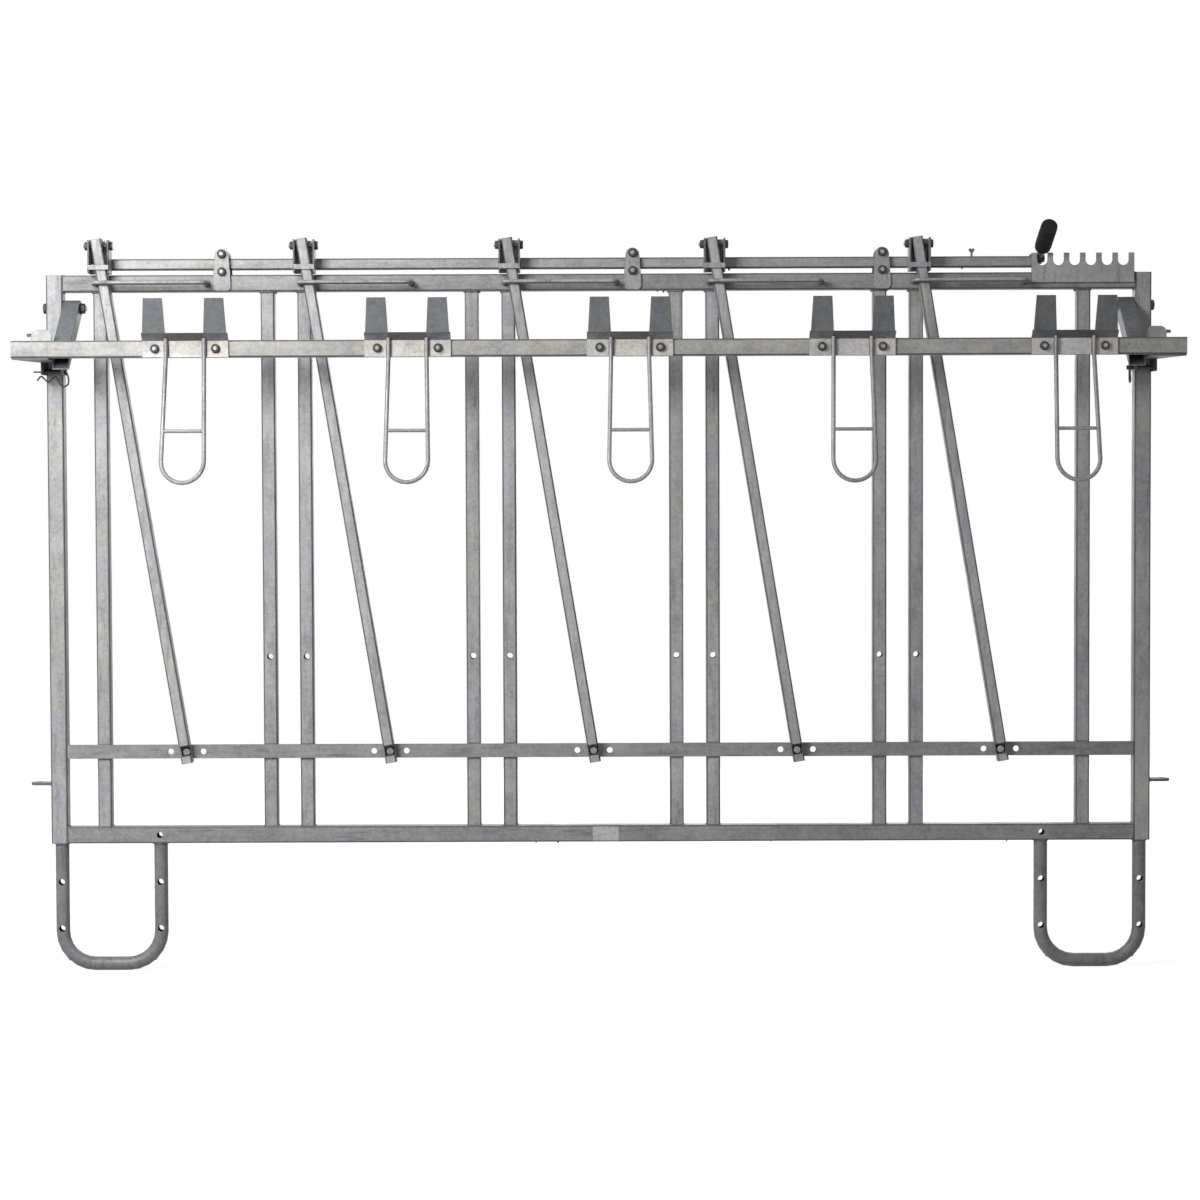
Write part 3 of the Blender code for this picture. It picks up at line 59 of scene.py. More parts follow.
bl_info = {
    "name": "Calf Feed Front",
    "version": (1, 0, 0),
    "blender": (4, 5, 0),
    "location": "3D View > Sidebar > Feed Front",
    "description": "Finishes a packed calf feed front and sets up its stage",
    "category": "Object",
}

BODY_OF = {node: body for body, nodes in RECORD["behaviour"]["bodies"].items() for node in nodes}
PIVOT_OF = {joint["name"]: joint.get("pos_m") for joint in RECORD["behaviour"]["joints"]}


def low_high(node):
    """Corners of a node's box at rest."""
    low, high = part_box(node)
    return Vector(low), Vector(high)


def middle_x(node):
    low, high = low_high(node)
    return (low.x + high.x) / 2


def like(start):
    """Names of the nodes that start alike, in order."""
    return sorted(node for node in NODES if node.startswith(start))


# Sizes that the solids have
SHEET = 0.003
TUBE = 0.030
WELD_GAP = 0.0003
BOLT_HEAD, BOLT_NUT, BOLT_TAIL = 0.0053, 0.0065, 0.0015
ARM_BOLT_END, ARM_BOLT_SIZE = 0.0064, 1.25
BEARING_BOLT_DROPS = (0.0093, 0.0412)
HOLDER_BOLT_X = 0.0535
HOLDER_TAB_X = 0.0335
EYE_HEIGHTS = (1.158, 0.343)
EYE_HALF = 0.0025
GRIP_RADIUS = 0.0145
WIRE_HALF = 0.0036
BAR_BOTTOM = 0.0200

# Where seams and ribs start and end
GRIP_RIB_ENDS = (-0.031, 0.033)
STIRRUP_SEAM_DROPS = (0.018, 0.002)
SADDLE_SEAM_X = (0.972, 1.004)
BRACKET_SEAM_X = (0.9412, 0.9712)

# Places on the panel, from its nodes' boxes
RAIL_FACE = low_high("front_rail")[0].y
RAIL_BACK = RAIL_FACE + TUBE
HOLDER_FACE = RAIL_FACE - SHEET - WELD_GAP
FRONT_RAIL_Z = low_high("bucket_holder_1")[1].z - 0.0873
CONTROL_BAR_TOP = low_high("bearing_plate_1")[1].z - 0.0169
FRAME_TOP = low_high("top_rail")[1].z
FRAME_FACE = low_high("top_rail")[1].y - TUBE

# Drips of zinc as (x, size), and the feet's as their inset and height
BAR_DRIPS = ((0.658, 1.0), (0.191, 0.8), (0.236, 1.2), (-0.30, 0.6), (-0.62, 0.5))
BOTTOM_DRIPS = ((-0.118, 0.7), (-0.078, 0.9), (0.31, 0.6), (0.74, 0.8))
TOP_DRIPS = ((0.106, 0.9), (0.117, 1.3), (-0.905, 0.8))
DRIP_INSET = 0.006
FOOT_DRIP_INSET, FOOT_DRIP_Z, FOOT_DRIP_SIZE = 0.0240, 0.0225, 1.3

# How thick each kind of bead is, as a share of the plain bead
CROSS_BEAD, TOP_BEAD, FOOT_BEAD, PLATE_BEAD, STIRRUP_BEAD, LOOP_BEAD = 1.5, 2.3, 1.6, 1.2, 1.1, 0.9
# Ends of a guide rod: distance from the place's middle, and bead
ROD_ENDS = ((-0.158, 1.3), (0.043, 1.8))
ROD_RADIUS, ROD_DROP = 0.0046, 0.016

# Lamps: name, size, place and aim
LAMPS = (
    ("key", 1.2, (-1.6, -1.9, 1.95), (-1.1, 0, 0.9)),
    ("fill", 2.4, (1.2, -4.6, 1.5), (0.2, 0, 0.8)),
    ("top", 2.6, (-0.6, 0.6, 4.2), (0, 0, 0.6)),
    ("back", 2.4, (0.6, 4.0, 2.0), (0, 0, 0.7)),
)


# Settings
def length(name, description, default, low, high):
    """A size in metres, with its limits."""
    return FloatProperty(name=name, description=description, default=default, min=low, max=high,
                         unit="LENGTH")


def hex_code(name, description, default):
    """A colour as an sRGB hex code."""
    return StringProperty(name=name, description=description + ", sRGB hex", default=default)


def power(name, description, default):
    """A lamp's power in watts."""
    return FloatProperty(name=name, description=description, default=default, min=0.0,
                         subtype="POWER")


def angle(name, description, degrees):
    """An angle of the camera."""
    return FloatProperty(name=name, description=description, default=radians(degrees),
                         subtype="ANGLE")


class ZincFinishSettings(bpy.types.PropertyGroup):
    """Colours and grain of the hot-dip galvanised steel."""
    pale: hex_code("Pale zinc", "Colour of the brightest patches", "#bababa")
    middle: hex_code("Middle zinc", "Colour of most of the zinc", "#a6a6a6")
    dark: hex_code("Dull zinc", "Colour of the dull grey patches", "#8b8c8d")
    cool: hex_code("Cool tint", "Tint of the lilac-grey patches", "#f7f9ff")
    warm: hex_code("Warm tint", "Tint of the green-grey patches", "#fffdf8")
    spangle: length("Spangle", "Width of one zinc crystal patch", 0.013, 0.002, 0.05)
    cloud: length("Cloud", "Width of one pale or dull area", 0.060, 0.01, 0.5)
    drift: length("Drift", "Length over which a whole bar turns paler or duller", 0.42, 0.1, 2.0)
    lump: length("Lump", "Width of one lump in the zinc's surface", 0.006, 0.001, 0.05)


class EdgeSettings(bpy.types.PropertyGroup):
    """Rounding of the edges of plates, tubes and fasteners."""
    sheet: length("Sheet edge", "Rounding of cut sheet and tube edges", 0.0004, 0.0, 0.002)
    narrow: length("Narrow face", "Faces under this width count as an edge", 0.0056, 0.001, 0.01)
    turn: FloatProperty(name="Edge angle", description="Faces that meet at more than this make an edge",
                        default=radians(50), min=0.1, max=3.0, subtype="ANGLE")


class BeadSettings(bpy.types.PropertyGroup):
    """Ripples of the weld beads, and drips of zinc below the tubes."""
    radius: length("Bead", "Half the width of a weld bead", 0.0013, 0.0005, 0.006)
    pitch: length("Ripple", "Distance between the ripples of a bead", 0.0016, 0.0005, 0.01)
    seed: IntProperty(name="Seed", description="Seed of the ripples' size and turn", default=7, min=0)
    drip: length("Drip", "Half the width of a drip of zinc", 0.0019, 0.0005, 0.006)


class BoltSettings(bpy.types.PropertyGroup):
    """An 8 mm hexagon bolt with its nut and washers; larger ones are scaled from it."""
    head: length("Head radius", "Radius over a head's or nut's corners", 0.0075, 0.003, 0.02)
    head_height: length("Head height", "Height of a bolt's head", 0.0041, 0.001, 0.01)
    nut_height: length("Nut height", "Height of a nut", 0.0053, 0.001, 0.01)
    shank: length("Shank radius", "Radius of a bolt's shank", 0.0039, 0.001, 0.01)
    tail: length("Tail", "Length of thread that shows past a nut", 0.0024, 0.0005, 0.02)
    pitch: length("Thread pitch", "Distance between the turns of a thread", 0.00125, 0.0005, 0.003)
    washer: length("Washer radius", "Outer radius of a washer", 0.0081, 0.004, 0.02)
    washer_thick: length("Washer thickness", "Thickness of a washer", 0.0012, 0.0005, 0.004)


class GripSettings(bpy.types.PropertyGroup):
    """Ribs round the lever's rubber grip."""
    pitch: length("Rib spacing", "Distance between two ribs of the grip", 0.0055, 0.002, 0.02)
    rib: length("Rib", "Half the width of a rib", 0.0010, 0.0003, 0.003)


class LabelSettings(bpy.types.PropertyGroup):
    """The blank paper label on the bottom rail."""
    middle_x: FloatProperty(name="Label place", description="X of the label's middle",
                            default=0.009, unit="LENGTH")
    width: length("Label width", "Width of the label", 0.047, 0.01, 0.2)
    height: length("Label height", "Height of the label", 0.0255, 0.01, 0.03)
    thick: length("Label thickness", "Thickness of the paper", 0.0002, 0.0001, 0.001)
    corner: length("Label corner", "Radius of the label's corners", 0.0015, 0.0002, 0.01)


class StageSettings(bpy.types.PropertyGroup):
    """Camera, floor and lights."""
    eye: FloatVectorProperty(name="Camera place", description="Where the camera stands",
                             default=(-0.0057, -4.9128, 0.8515), subtype="TRANSLATION")
    lens: FloatProperty(name="Lens", description="Focal length on a 36 mm sensor, in millimetres",
                        default=82.43, min=10.0, max=300.0)
    pitch: angle("Tilt", "Camera's tilt below level", 2.034)
    roll: angle("Roll", "Camera's roll, which lifts the picture's right side", 0.207)
    yaw: angle("Turn", "Camera's turn to the right", 0.067)
    floor_colour: hex_code("Floor", "Floor colour", "#a0a0a0")
    floor_glow: FloatProperty(name="Floor white", description="Light added to the floor as it is seen",
                              default=0.9, min=0.0, max=1.0)
    floor_reach: length("Floor size", "Half the width of the floor", 3.9, 1.0, 50.0)
    key_power: power("Key light", "Power of the large light at the left", 74.0)
    fill_power: power("Fill light", "Power of the low light from the front", 1.4)
    top_power: power("Top light", "Power of the light from above", 4.0)
    back_power: power("Back light", "Power of the light behind the panel", 40.0)
    sky: FloatProperty(name="Room light", description="Strength of the even light from all round",
                       default=0.06, min=0.0, max=2.0)


def settings(name):
    return getattr(bpy.context.scene, "feed_front_" + name)


# Colours and shader nodes
def linear(code, shade=1.0):
    """An sRGB hex colour as linear red, green, blue and alpha, made paler or darker by a factor."""
    channels = []
    for place in (1, 3, 5):
        value = int(code[place:place + 2], 16) / 255
        value = value / 12.92 if value <= 0.04045 else ((value + 0.055) / 1.055) ** 2.4
        channels.append(value * shade)
    return (*channels, 1.0)


WHITE = linear("#ffffff")


def add_node(tree, kind, links=(), inputs=(), **options):
    """Add a node with its options, its unlinked inputs and the sockets that feed it."""
    node = tree.nodes.new(kind)
    for key, value in options.items():
        setattr(node, key, value)
    for key, value in dict(inputs).items():
        node.inputs[key].default_value = value
    for key, sockets in dict(links).items():
        for socket in sockets if isinstance(sockets, list) else [sockets]:
            tree.links.new(socket, node.inputs[key])
    return node


def maths(tree, operation, first, second):
    """One sum of two sockets or numbers."""
    both = {0: first, 1: second}
    links = {key: value for key, value in both.items() if not isinstance(value, (int, float))}
    plain = {key: value for key, value in both.items() if isinstance(value, (int, float))}
    return add_node(tree, "ShaderNodeMath", links, plain, operation=operation).outputs[0]


def times(tree, socket, factor):
    return maths(tree, "MULTIPLY", socket, factor)


def new_material(name):
    """A material with an empty tree, and that tree."""
    material = bpy.data.materials.new(name)
    material.use_nodes = True
    tree = material.node_tree
    tree.nodes.clear()
    return material, tree


def end_material(tree, links, inputs):
    """End a material in one shader with these sockets and plain values."""
    shader = add_node(tree, "ShaderNodeBsdfPrincipled", links, inputs)
    add_node(tree, "ShaderNodeOutputMaterial", {"Surface": shader.outputs["BSDF"]})


def object_place(tree):
    return add_node(tree, "ShaderNodeTexCoord").outputs["Object"]


def ramp(tree, socket, *stops):
    """A socket turned into colour by stops of (place, colour)."""
    node = add_node(tree, "ShaderNodeValToRGB", {"Fac": socket})
    elements = node.color_ramp.elements
    while len(elements) < len(stops):
        elements.new(0.5)
    for element, (place, colour) in zip(elements, stops):
        element.position = place
        element.color = colour
    return node.outputs["Color"]


def spread(tree, socket, low, high, at_low, at_high):
    """A socket's span from low to high, made to run from one value to another."""
    return add_node(tree, "ShaderNodeMapRange", {"Value": socket},
                    {"From Min": low, "From Max": high,
                     "To Min": at_low, "To Max": at_high}).outputs["Result"]


def bump(tree, socket, strength, depth):
    """Normals of a relief that follows a socket, depth metres deep."""
    return add_node(tree, "ShaderNodeBump", {"Height": socket},
                    {"Strength": strength, "Distance": depth}).outputs["Normal"]


def tinted(tree, colour, tint):
    return add_node(tree, "ShaderNodeMix", {"A": colour, "B": tint}, {"Factor": 1.0},
                    data_type="RGBA", blend_type="MULTIPLY").outputs["Result"]


def noise(tree, place, width, detail, roughness=0.6, **inputs):
    """A noise whose patches are about as wide as width, in metres."""
    return add_node(tree, "ShaderNodeTexNoise", {"Vector": place},
                    {"Scale": 1 / width, "Detail": detail, "Roughness": roughness,
                     **inputs}).outputs["Fac"]


def hot_dip_zinc(name, shade=1.0, grain=(1.0, 1.0, 0.1), streak=0.6, stain=0.4, metal=0.15, offset=0.0,
                 tone="#ffffff"):
    """Hot-dip galvanised mild steel, dipped after welding and weathered outdoors.

    The zinc froze in crystals of about 13 mm that each catch the light a little differently.
    Over them lie pale and dull clouds, thin runs along the tube and small dark stains, and a
    thin dull skin of carbonate hides most of the metal's shine. The surface is lumpy. tone is
    a tint for the whole piece, and offset moves the pattern so that no two finishes match.
    """
    zinc = settings("zinc")
    material, tree = new_material("hot_dip_zinc_on_" + name)
    pale, middle, dark = ([one * two for one, two in zip(linear(code, shade), linear(tone))]
                          for code in (zinc.pale, zinc.middle, zinc.dark))
    moved = add_node(tree, "ShaderNodeMapping", {"Vector": object_place(tree)},
                     {"Location": (offset, 2 * offset, 3 * offset)}).outputs["Vector"]
    along = add_node(tree, "ShaderNodeMapping", {"Vector": moved}, {"Scale": grain}).outputs["Vector"]
    crystals = add_node(tree, "ShaderNodeTexVoronoi", {"Vector": moved}, {"Scale": 1 / zinc.spangle})
    crystal_grey = add_node(tree, "ShaderNodeRGBToBW", {"Color": crystals.outputs["Color"]})
    clouds = noise(tree, moved, zinc.cloud, 6.0, Distortion=0.4)
    drift = noise(tree, moved, zinc.drift, 2.0)
    # thin runs, 9 mm wide
    runs = noise(tree, along, 0.009, 4.0)
    lumps = noise(tree, moved, zinc.lump, 4.0, 0.65)
    # crystal, cloud, drift, lump and run are weighted and summed to one factor for the ramp
    weights = ((crystal_grey.outputs["Val"], 0.18), (clouds, 0.6), (drift, 0.6), (lumps, 0.9),
               (runs, streak))
    total = None
    for socket, weight in weights:
        part = times(tree, socket, weight)
        total = part if total is None else maths(tree, "ADD", part, total)
    half = sum(weight for _, weight in weights) / 2
    centred = maths(tree, "SUBTRACT", total, half - 0.5)
    grey = ramp(tree, centred, (0.18, dark), (0.5, middle), (0.82, pale))
    # cool and warm patches, 45 mm wide
    patches = noise(tree, moved, 0.045, 3.0)
    tint = ramp(tree, patches, (0.4, linear(zinc.cool)), (0.6, linear(zinc.warm)))
    # stains about 5 mm wide, drawn a little coarser than the real specks so that they show
    specks = noise(tree, along, 0.010, 6.0, 0.7)
    stained = spread(tree, specks, 0.55, 0.70, 1.0, 1.0 - stain)
    colour = tinted(tree, tinted(tree, grey, tint), stained)
    end_material(tree, {"Base Color": colour, "Roughness": spread(tree, clouds, 0.3, 0.7, 0.58, 0.42),
                        "Normal": bump(tree, lumps, 0.3, 0.0005)},
                 {"Metallic": metal, "Specular IOR Level": 0.3})
    return material


def plated_zinc(name, code, rough=0.34, metal=0.85):
    """Electroplated steel: thin even zinc, a satin sheen and dull handling marks 4 mm wide."""
    material, tree = new_material(name)
    marks = noise(tree, object_place(tree), 0.004, 5.0, 0.65)
    end_material(tree, {"Base Color": ramp(tree, marks, (0.3, linear(code, 0.6)), (0.65, linear(code))),
                        "Roughness": spread(tree, marks, 0.3, 0.7, rough + 0.16, rough),
                        "Normal": bump(tree, marks, 0.15, 0.0002)}, {"Metallic": metal})
    return material


def moulded_rubber(name):
    """Moulded black rubber grip: nearly matt, with a grain of 1.6 mm and grey dust in it."""
    material, tree = new_material(name)
    place = object_place(tree)
    grain = noise(tree, place, 0.0016, 3.0)
    dust = noise(tree, place, 0.018, 4.0)
    colour = ramp(tree, dust, (0.35, linear("#0b0b0c")), (0.8, linear("#1f1f1f")))
    end_material(tree, {"Base Color": colour, "Normal": bump(tree, grain, 0.35, 0.0003)},
                 {"Metallic": 0.0, "Roughness": 0.72, "IOR": 1.52, "Specular IOR Level": 0.25})
    return material


def label_paper(name):
    """Coated paper label, blank, a little greyed and rubbed in patches of 7 mm."""
    material, tree = new_material(name)
    rub = noise(tree, object_place(tree), 0.007, 5.0, 0.7)
    colour = ramp(tree, rub, (0.3, linear("#a5a8a9")), (0.55, linear("#cbcccd")))
    end_material(tree, {"Base Color": colour, "Normal": bump(tree, rub, 0.12, 0.0001)},
                 {"Metallic": 0.0, "Roughness": 0.5, "IOR": 1.5})
    return material


def background_rays(tree):
    """1 for the rays that show the background to the eye or in a gloss, and 0 for light itself."""
    path = add_node(tree, "ShaderNodeLightPath").outputs
    direct = maths(tree, "MAXIMUM", path["Is Camera Ray"], path["Is Glossy Ray"])
    return maths(tree, "MAXIMUM", direct, path["Is Transmission Ray"])


def studio_floor(name):
    """Matt studio floor that is seen as white, so bright that the panel's shadow hardly shows.

    Its white grows from 1 m to 3.5 m away from the panel, so that its edge doesn't show.
    """
    stage = settings("stage")
    material, tree = new_material(name)
    away = add_node(tree, "ShaderNodeVectorMath", {0: object_place(tree)},
                    operation="LENGTH").outputs["Value"]
    glow = times(tree, background_rays(tree), spread(tree, away, 1.0, 3.5, stage.floor_glow, 1.0))
    end_material(tree, {"Emission Strength": glow},
                 {"Base Color": linear(stage.floor_colour), "Roughness": 0.9,
                  "Specular IOR Level": 0.0, "Emission Color": WHITE})
    return material


ALONG_X = (0.1, 1.0, 1.0)
ALONG_Z = (1.0, 1.0, 0.1)
MAKERS = {
    "upright": lambda: hot_dip_zinc("uprights", 1.04, ALONG_Z),
    "foot": lambda: hot_dip_zinc("feet", 0.6, ALONG_Z, offset=2.9),
    "rail": lambda: hot_dip_zinc("rails", 0.78, ALONG_X, offset=1.3),
    "bar": lambda: hot_dip_zinc("control_bar", 0.98, ALONG_X, 0.8, offset=2.1),
    "front": lambda: hot_dip_zinc("front_rail", 1.08, ALONG_X, 0.3, 0.2, offset=3.7, tone="#fffcf5"),
    "swing": lambda: hot_dip_zinc("swing_bars", 1.1, ALONG_Z, 0.9, 0.3, offset=4.9),
    "plate": lambda: hot_dip_zinc("plates", 1.05, ALONG_Z, 0.5, 0.6, offset=5.3),
    "holder": lambda: hot_dip_zinc("holders", 1.75, ALONG_X, 0.2, 0.15, offset=6.1, tone="#fffaf4"),
    # the holders' tabs and the bend below them are the same sheet as the holders, darkened and cooled as
    # painted shade
    "tab": lambda: hot_dip_zinc("tabs", 0.46, ALONG_Z, 0.2, 0.2, offset=7.7, tone="#f6faff"),
    "lip_in_painted_shade": lambda: hot_dip_zinc("bends", 0.3, ALONG_X, 0.2, 0.3, offset=8.3),
    # arms and the front rail's ears below it: zinc darkened and cooled as painted shade, where they face
    # sideways and down
    "arm_in_painted_shade": lambda: hot_dip_zinc("arms", 0.5, ALONG_Z, 0.3, 0.3, offset=9.9, tone="#f4f8ff"),
    # edges and corners of tubes and plates, the guide rods' undersides and the drips: zinc darkened as
    # painted shade, standing for the dark surroundings that rounded edges reflect
    "corner": lambda: hot_dip_zinc("corners", 0.4, ALONG_Z, 0.4, 0.4, offset=0.7),
    "loop": lambda: hot_dip_zinc("wire", 0.85, ALONG_Z, 0.2, 0.15, 0.3, offset=0.9),
    "weld": lambda: hot_dip_zinc("welds", 0.5, ALONG_Z, 0.3, 0.6, offset=1.1),
    "fastener": lambda: plated_zinc("zinc_plated_bolts", "#9fa09c"),
    # darker plated zinc, painted shade on the sides of bolt heads and on washers, nuts and shanks; the
    # stop pins wear it too
    "fastener_side": lambda: plated_zinc("dull_plated_bolt_sides", "#4c4c48", 0.5, 0.5),
    "wire": lambda: plated_zinc("dark_spring_wire", "#4a4843", 0.4, 0.7),
    "rubber": lambda: moulded_rubber("moulded_black_rubber"),
    "paper": lambda: label_paper("blank_paper_label"),
}
MATERIALS = {}


def material_for(kind):
    """The finish of one kind of piece, made once."""
    if kind not in MATERIALS:
        MATERIALS[kind] = MAKERS[kind]()
    return MATERIALS[kind]


# Meshes
def shown(name, data):
    """A new object of some data, in the scene."""
    thing = bpy.data.objects.new(name, data)
    bpy.context.scene.collection.objects.link(thing)
    return thing


def object_from(name, data, body):
    """Show a mesh that is already in its place, and let it ride on a body."""
    data.name = name
    piece = shown(name, data)
    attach(piece, body)
    return piece


def mesh_data(name, mesh):
    """The mesh data of an edited mesh, which is then freed."""
    data = bpy.data.meshes.new(name)
    mesh.to_mesh(data)
    mesh.free()
    return data


def applied(data, finish):
    """A plain mesh of some mesh data after the modifiers that finish puts on it."""
    worker = shown("worker", data)
    finish(worker)
    graph = bpy.context.evaluated_depsgraph_get()
    graph.update()
    result = bpy.data.meshes.new_from_object(worker.evaluated_get(graph), depsgraph=graph)
    worker.modifiers.clear()
    bpy.data.objects.remove(worker)
    return result


def take_off_heads(mesh, seats, radius):
    """Take fused bolt heads off a mesh and close the plate under them."""
    below, above, slack = -0.00003, 0.001, 0.0001
    for seat, axis in seats:
        gone = []
        for face in mesh.faces:
            heights = [(vert.co - seat).dot(axis) for vert in face.verts]
            across = max(((vert.co - seat) - axis * (vert.co - seat).dot(axis)).length
                         for vert in face.verts)
            if min(heights) > below and max(heights) > above and across < radius + slack:
                gone.append(face)
        bmesh.ops.delete(mesh, geom=gone, context="FACES")
        rim = [edge for edge in mesh.edges if len(edge.link_faces) == 1]
        bmesh.ops.edgeloop_fill(mesh, edges=rim)
        loose = [vert for vert in mesh.verts if not vert.link_faces]
        bmesh.ops.delete(mesh, geom=loose, context="VERTS")


def face_width(face):
    return face.calc_area() / max(edge.calc_length() for edge in face.edges)


def is_edge_strip(face, narrow):
    """A narrow face that turns from a broad one: a tube's corner or the cut edge of a plate."""
    turned_below, flat_above, broad = 0.98, 0.9999, 0.008
    if face_width(face) > narrow:
        return False
    others = [(other, other.normal.dot(face.normal)) for edge in face.edges
              for other in edge.link_faces if other is not face]
    if any(alike > flat_above for _, alike in others):
        return False
    return any(alike < turned_below and face_width(other) > broad for other, alike in others)


def rounded_copy(node, kinds, seats=(), choose=None, width=None, cuts=()):
    """Replace a CAD node with a merged copy whose edges are rounded and whose curves are smooth.

    The first kind is for broad faces and the second for edges and corners; where the second is
    the darker corner zinc, that darkening is painted shade on the edges. choose gives a face's
    place among the kinds where there are more. cuts are values of x at which the faces
    are parted, so that each side can take a finish of its own.
    """
    edge = settings("edge")
    mesh = bmesh.new()
    mesh.from_mesh(NODES[node].data)
    bmesh.ops.remove_doubles(mesh, verts=mesh.verts, dist=0.00001)
    take_off_heads(mesh, seats, settings("bolt").head)
    bmesh.ops.dissolve_limit(mesh, angle_limit=radians(0.5), verts=mesh.verts, edges=mesh.edges)
    for x in cuts:
        bmesh.ops.bisect_plane(mesh, geom=mesh.verts[:] + mesh.edges[:] + mesh.faces[:],
                               plane_co=(x, 0, 0), plane_no=(1, 0, 0), dist=0.0003)
        bmesh.ops.dissolve_degenerate(mesh, edges=mesh.edges, dist=0.000001)
    bmesh.ops.recalc_face_normals(mesh, faces=mesh.faces)
    for side in mesh.edges:
        side.smooth = side.calc_face_angle(0.0) < edge.turn
    # narrow edge faces take the second kind, on most pieces the corner zinc darkened as painted shade
    for face in mesh.faces:
        face.smooth = True
        face.material_index = 1 if is_edge_strip(face, edge.narrow) else 0
        if choose:
            face.material_index = choose(face, face.material_index)
    data = mesh_data(node + "_finish", mesh)
    for kind in kinds:
        data.materials.append(material_for(kind))

    def finish(worker):
        bevel = worker.modifiers.new("edges", "BEVEL")
        bevel.width = edge.sheet if width is None else width
        bevel.segments = 2
        bevel.limit_method = "ANGLE"
        bevel.angle_limit = edge.turn
        # the rounded edges take the second kind too, on most pieces the painted shade of the edges
        bevel.material = 1
        shading = worker.modifiers.new("shading", "WEIGHTED_NORMAL")
        shading.keep_sharp = True

    piece = object_from(node + "_finish", applied(data, finish), BODY_OF[node])
    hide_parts(node)
    return piece


# Geometry nodes
def new_group(name, inputs):
    """A geometry node tree with named inputs, and its input node's sockets."""
    tree = bpy.data.node_groups.new(name, "GeometryNodeTree")
    tree.interface.new_socket("Geometry", in_out="INPUT", socket_type="NodeSocketGeometry")
    for key in inputs:
        kind = "NodeSocketInt" if key == "Seed" else "NodeSocketFloat"
        tree.interface.new_socket(key, in_out="INPUT", socket_type=kind)
    tree.interface.new_socket("Geometry", in_out="OUTPUT", socket_type="NodeSocketGeometry")
    return tree, add_node(tree, "NodeGroupInput").outputs


def end_group(tree, instances, material=None):
    """End a tree in Realize Instances and, for one smooth finish all over, Set Material."""
    if material:
        instances = add_node(tree, "GeometryNodeSetShadeSmooth",
                             {"Geometry": instances}).outputs["Geometry"]
    real = add_node(tree, "GeometryNodeRealizeInstances", {"Geometry": instances}).outputs["Geometry"]
    if material:
        real = coated(tree, real, material)
    add_node(tree, "NodeGroupOutput", {"Geometry": real})


def grown(data, tree, values):
    """Run a node tree on a mesh and give back the plain mesh that comes out."""
    ids = {item.name: item.identifier for item in tree.interface.items_tree if item.in_out == "INPUT"}

    def finish(worker):
        modifier = worker.modifiers.new("grow", "NODES")
        modifier.node_group = tree
        for key, value in values.items():
            modifier[ids[key]] = value

    return applied(data, finish)


def lifted(tree, geometry, height):
    """Geometry moved up its own Z by a socket's length."""
    shift = add_node(tree, "ShaderNodeCombineXYZ", {"Z": height}).outputs["Vector"]
    return add_node(tree, "GeometryNodeTransform",
                    {"Geometry": geometry, "Translation": shift}).outputs["Geometry"]


def coated(tree, geometry, material, **selection):
    return add_node(tree, "GeometryNodeSetMaterial", {"Geometry": geometry, **selection},
                    {"Material": material}).outputs["Geometry"]


def joined(tree, *parts):
    return add_node(tree, "GeometryNodeJoinGeometry", {"Geometry": list(parts)}).outputs["Geometry"]


def on_points(tree, points, part, **links):
    """A copy of a part on each point, turned and scaled by the sockets in links."""
    return add_node(tree, "GeometryNodeInstanceOnPoints",
                    {"Points": points, "Instance": part, **links}).outputs["Instances"]


def circle(tree, radius, resolution):
    return add_node(tree, "GeometryNodeCurvePrimitiveCircle", {"Radius": radius},
                    {"Resolution": resolution}).outputs["Curve"]


def swept(tree, path, section, **inputs):
    """A section carried along a path."""
    return add_node(tree, "GeometryNodeCurveToMesh", {"Curve": path, "Profile Curve": section},
                    inputs).outputs["Mesh"]


def carried(tree, name, kind="FLOAT"):
    """A value that each point carries."""
    return add_node(tree, "GeometryNodeInputNamedAttribute", inputs={"Name": name},
                    data_type=kind).outputs["Attribute"]


def random_vector(tree, seed, low, high):
    return add_node(tree, "FunctionNodeRandomValue", {"Seed": seed},
                    {"Min": (low, low, low), "Max": (high, high, high)},
                    data_type="FLOAT_VECTOR").outputs["Value"]


def curve_from(tree, mesh):
    return add_node(tree, "GeometryNodeMeshToCurve", {"Mesh": mesh}).outputs["Curve"]


def bead_tree(material, values):
    """Weld ripples along edge chains, each as thick as its chain says."""
    tree, start = new_group("weld_bead", values)
    steps = add_node(tree, "GeometryNodeResampleCurve",
                     {"Curve": curve_from(tree, start["Geometry"]), "Length": start["Pitch"]},
                     mode="LENGTH").outputs["Curve"]
    ripple = add_node(tree, "GeometryNodeMeshUVSphere", {"Radius": start["Radius"]},
                      {"Segments": 8, "Rings": 5}).outputs["Mesh"]
    scale = add_node(tree, "ShaderNodeVectorMath",
                     {0: random_vector(tree, start["Seed"], 0.8, 1.2), "Scale": carried(tree, "thick")},
                     operation="SCALE").outputs["Vector"]
    turn = random_vector(tree, start["Seed"], 0.0, pi)
    end_group(tree, on_points(tree, steps, ripple, Rotation=turn, Scale=scale), material)
    return tree


def drip_tree(material, values):
    """A drip of frozen zinc at each point, longer than wide and as big as its point says."""
    tree, start = new_group("zinc_drip", values)
    ball = add_node(tree, "GeometryNodeMeshUVSphere", {"Radius": start["Radius"]},
                    {"Segments": 12, "Rings": 8}).outputs["Mesh"]
    size = carried(tree, "size")
    shape = add_node(tree, "ShaderNodeCombineXYZ",
                     {"X": size, "Y": size, "Z": times(tree, size, 1.9)}).outputs["Vector"]
    end_group(tree, on_points(tree, start["Geometry"], ball, Scale=shape), material)
    return tree


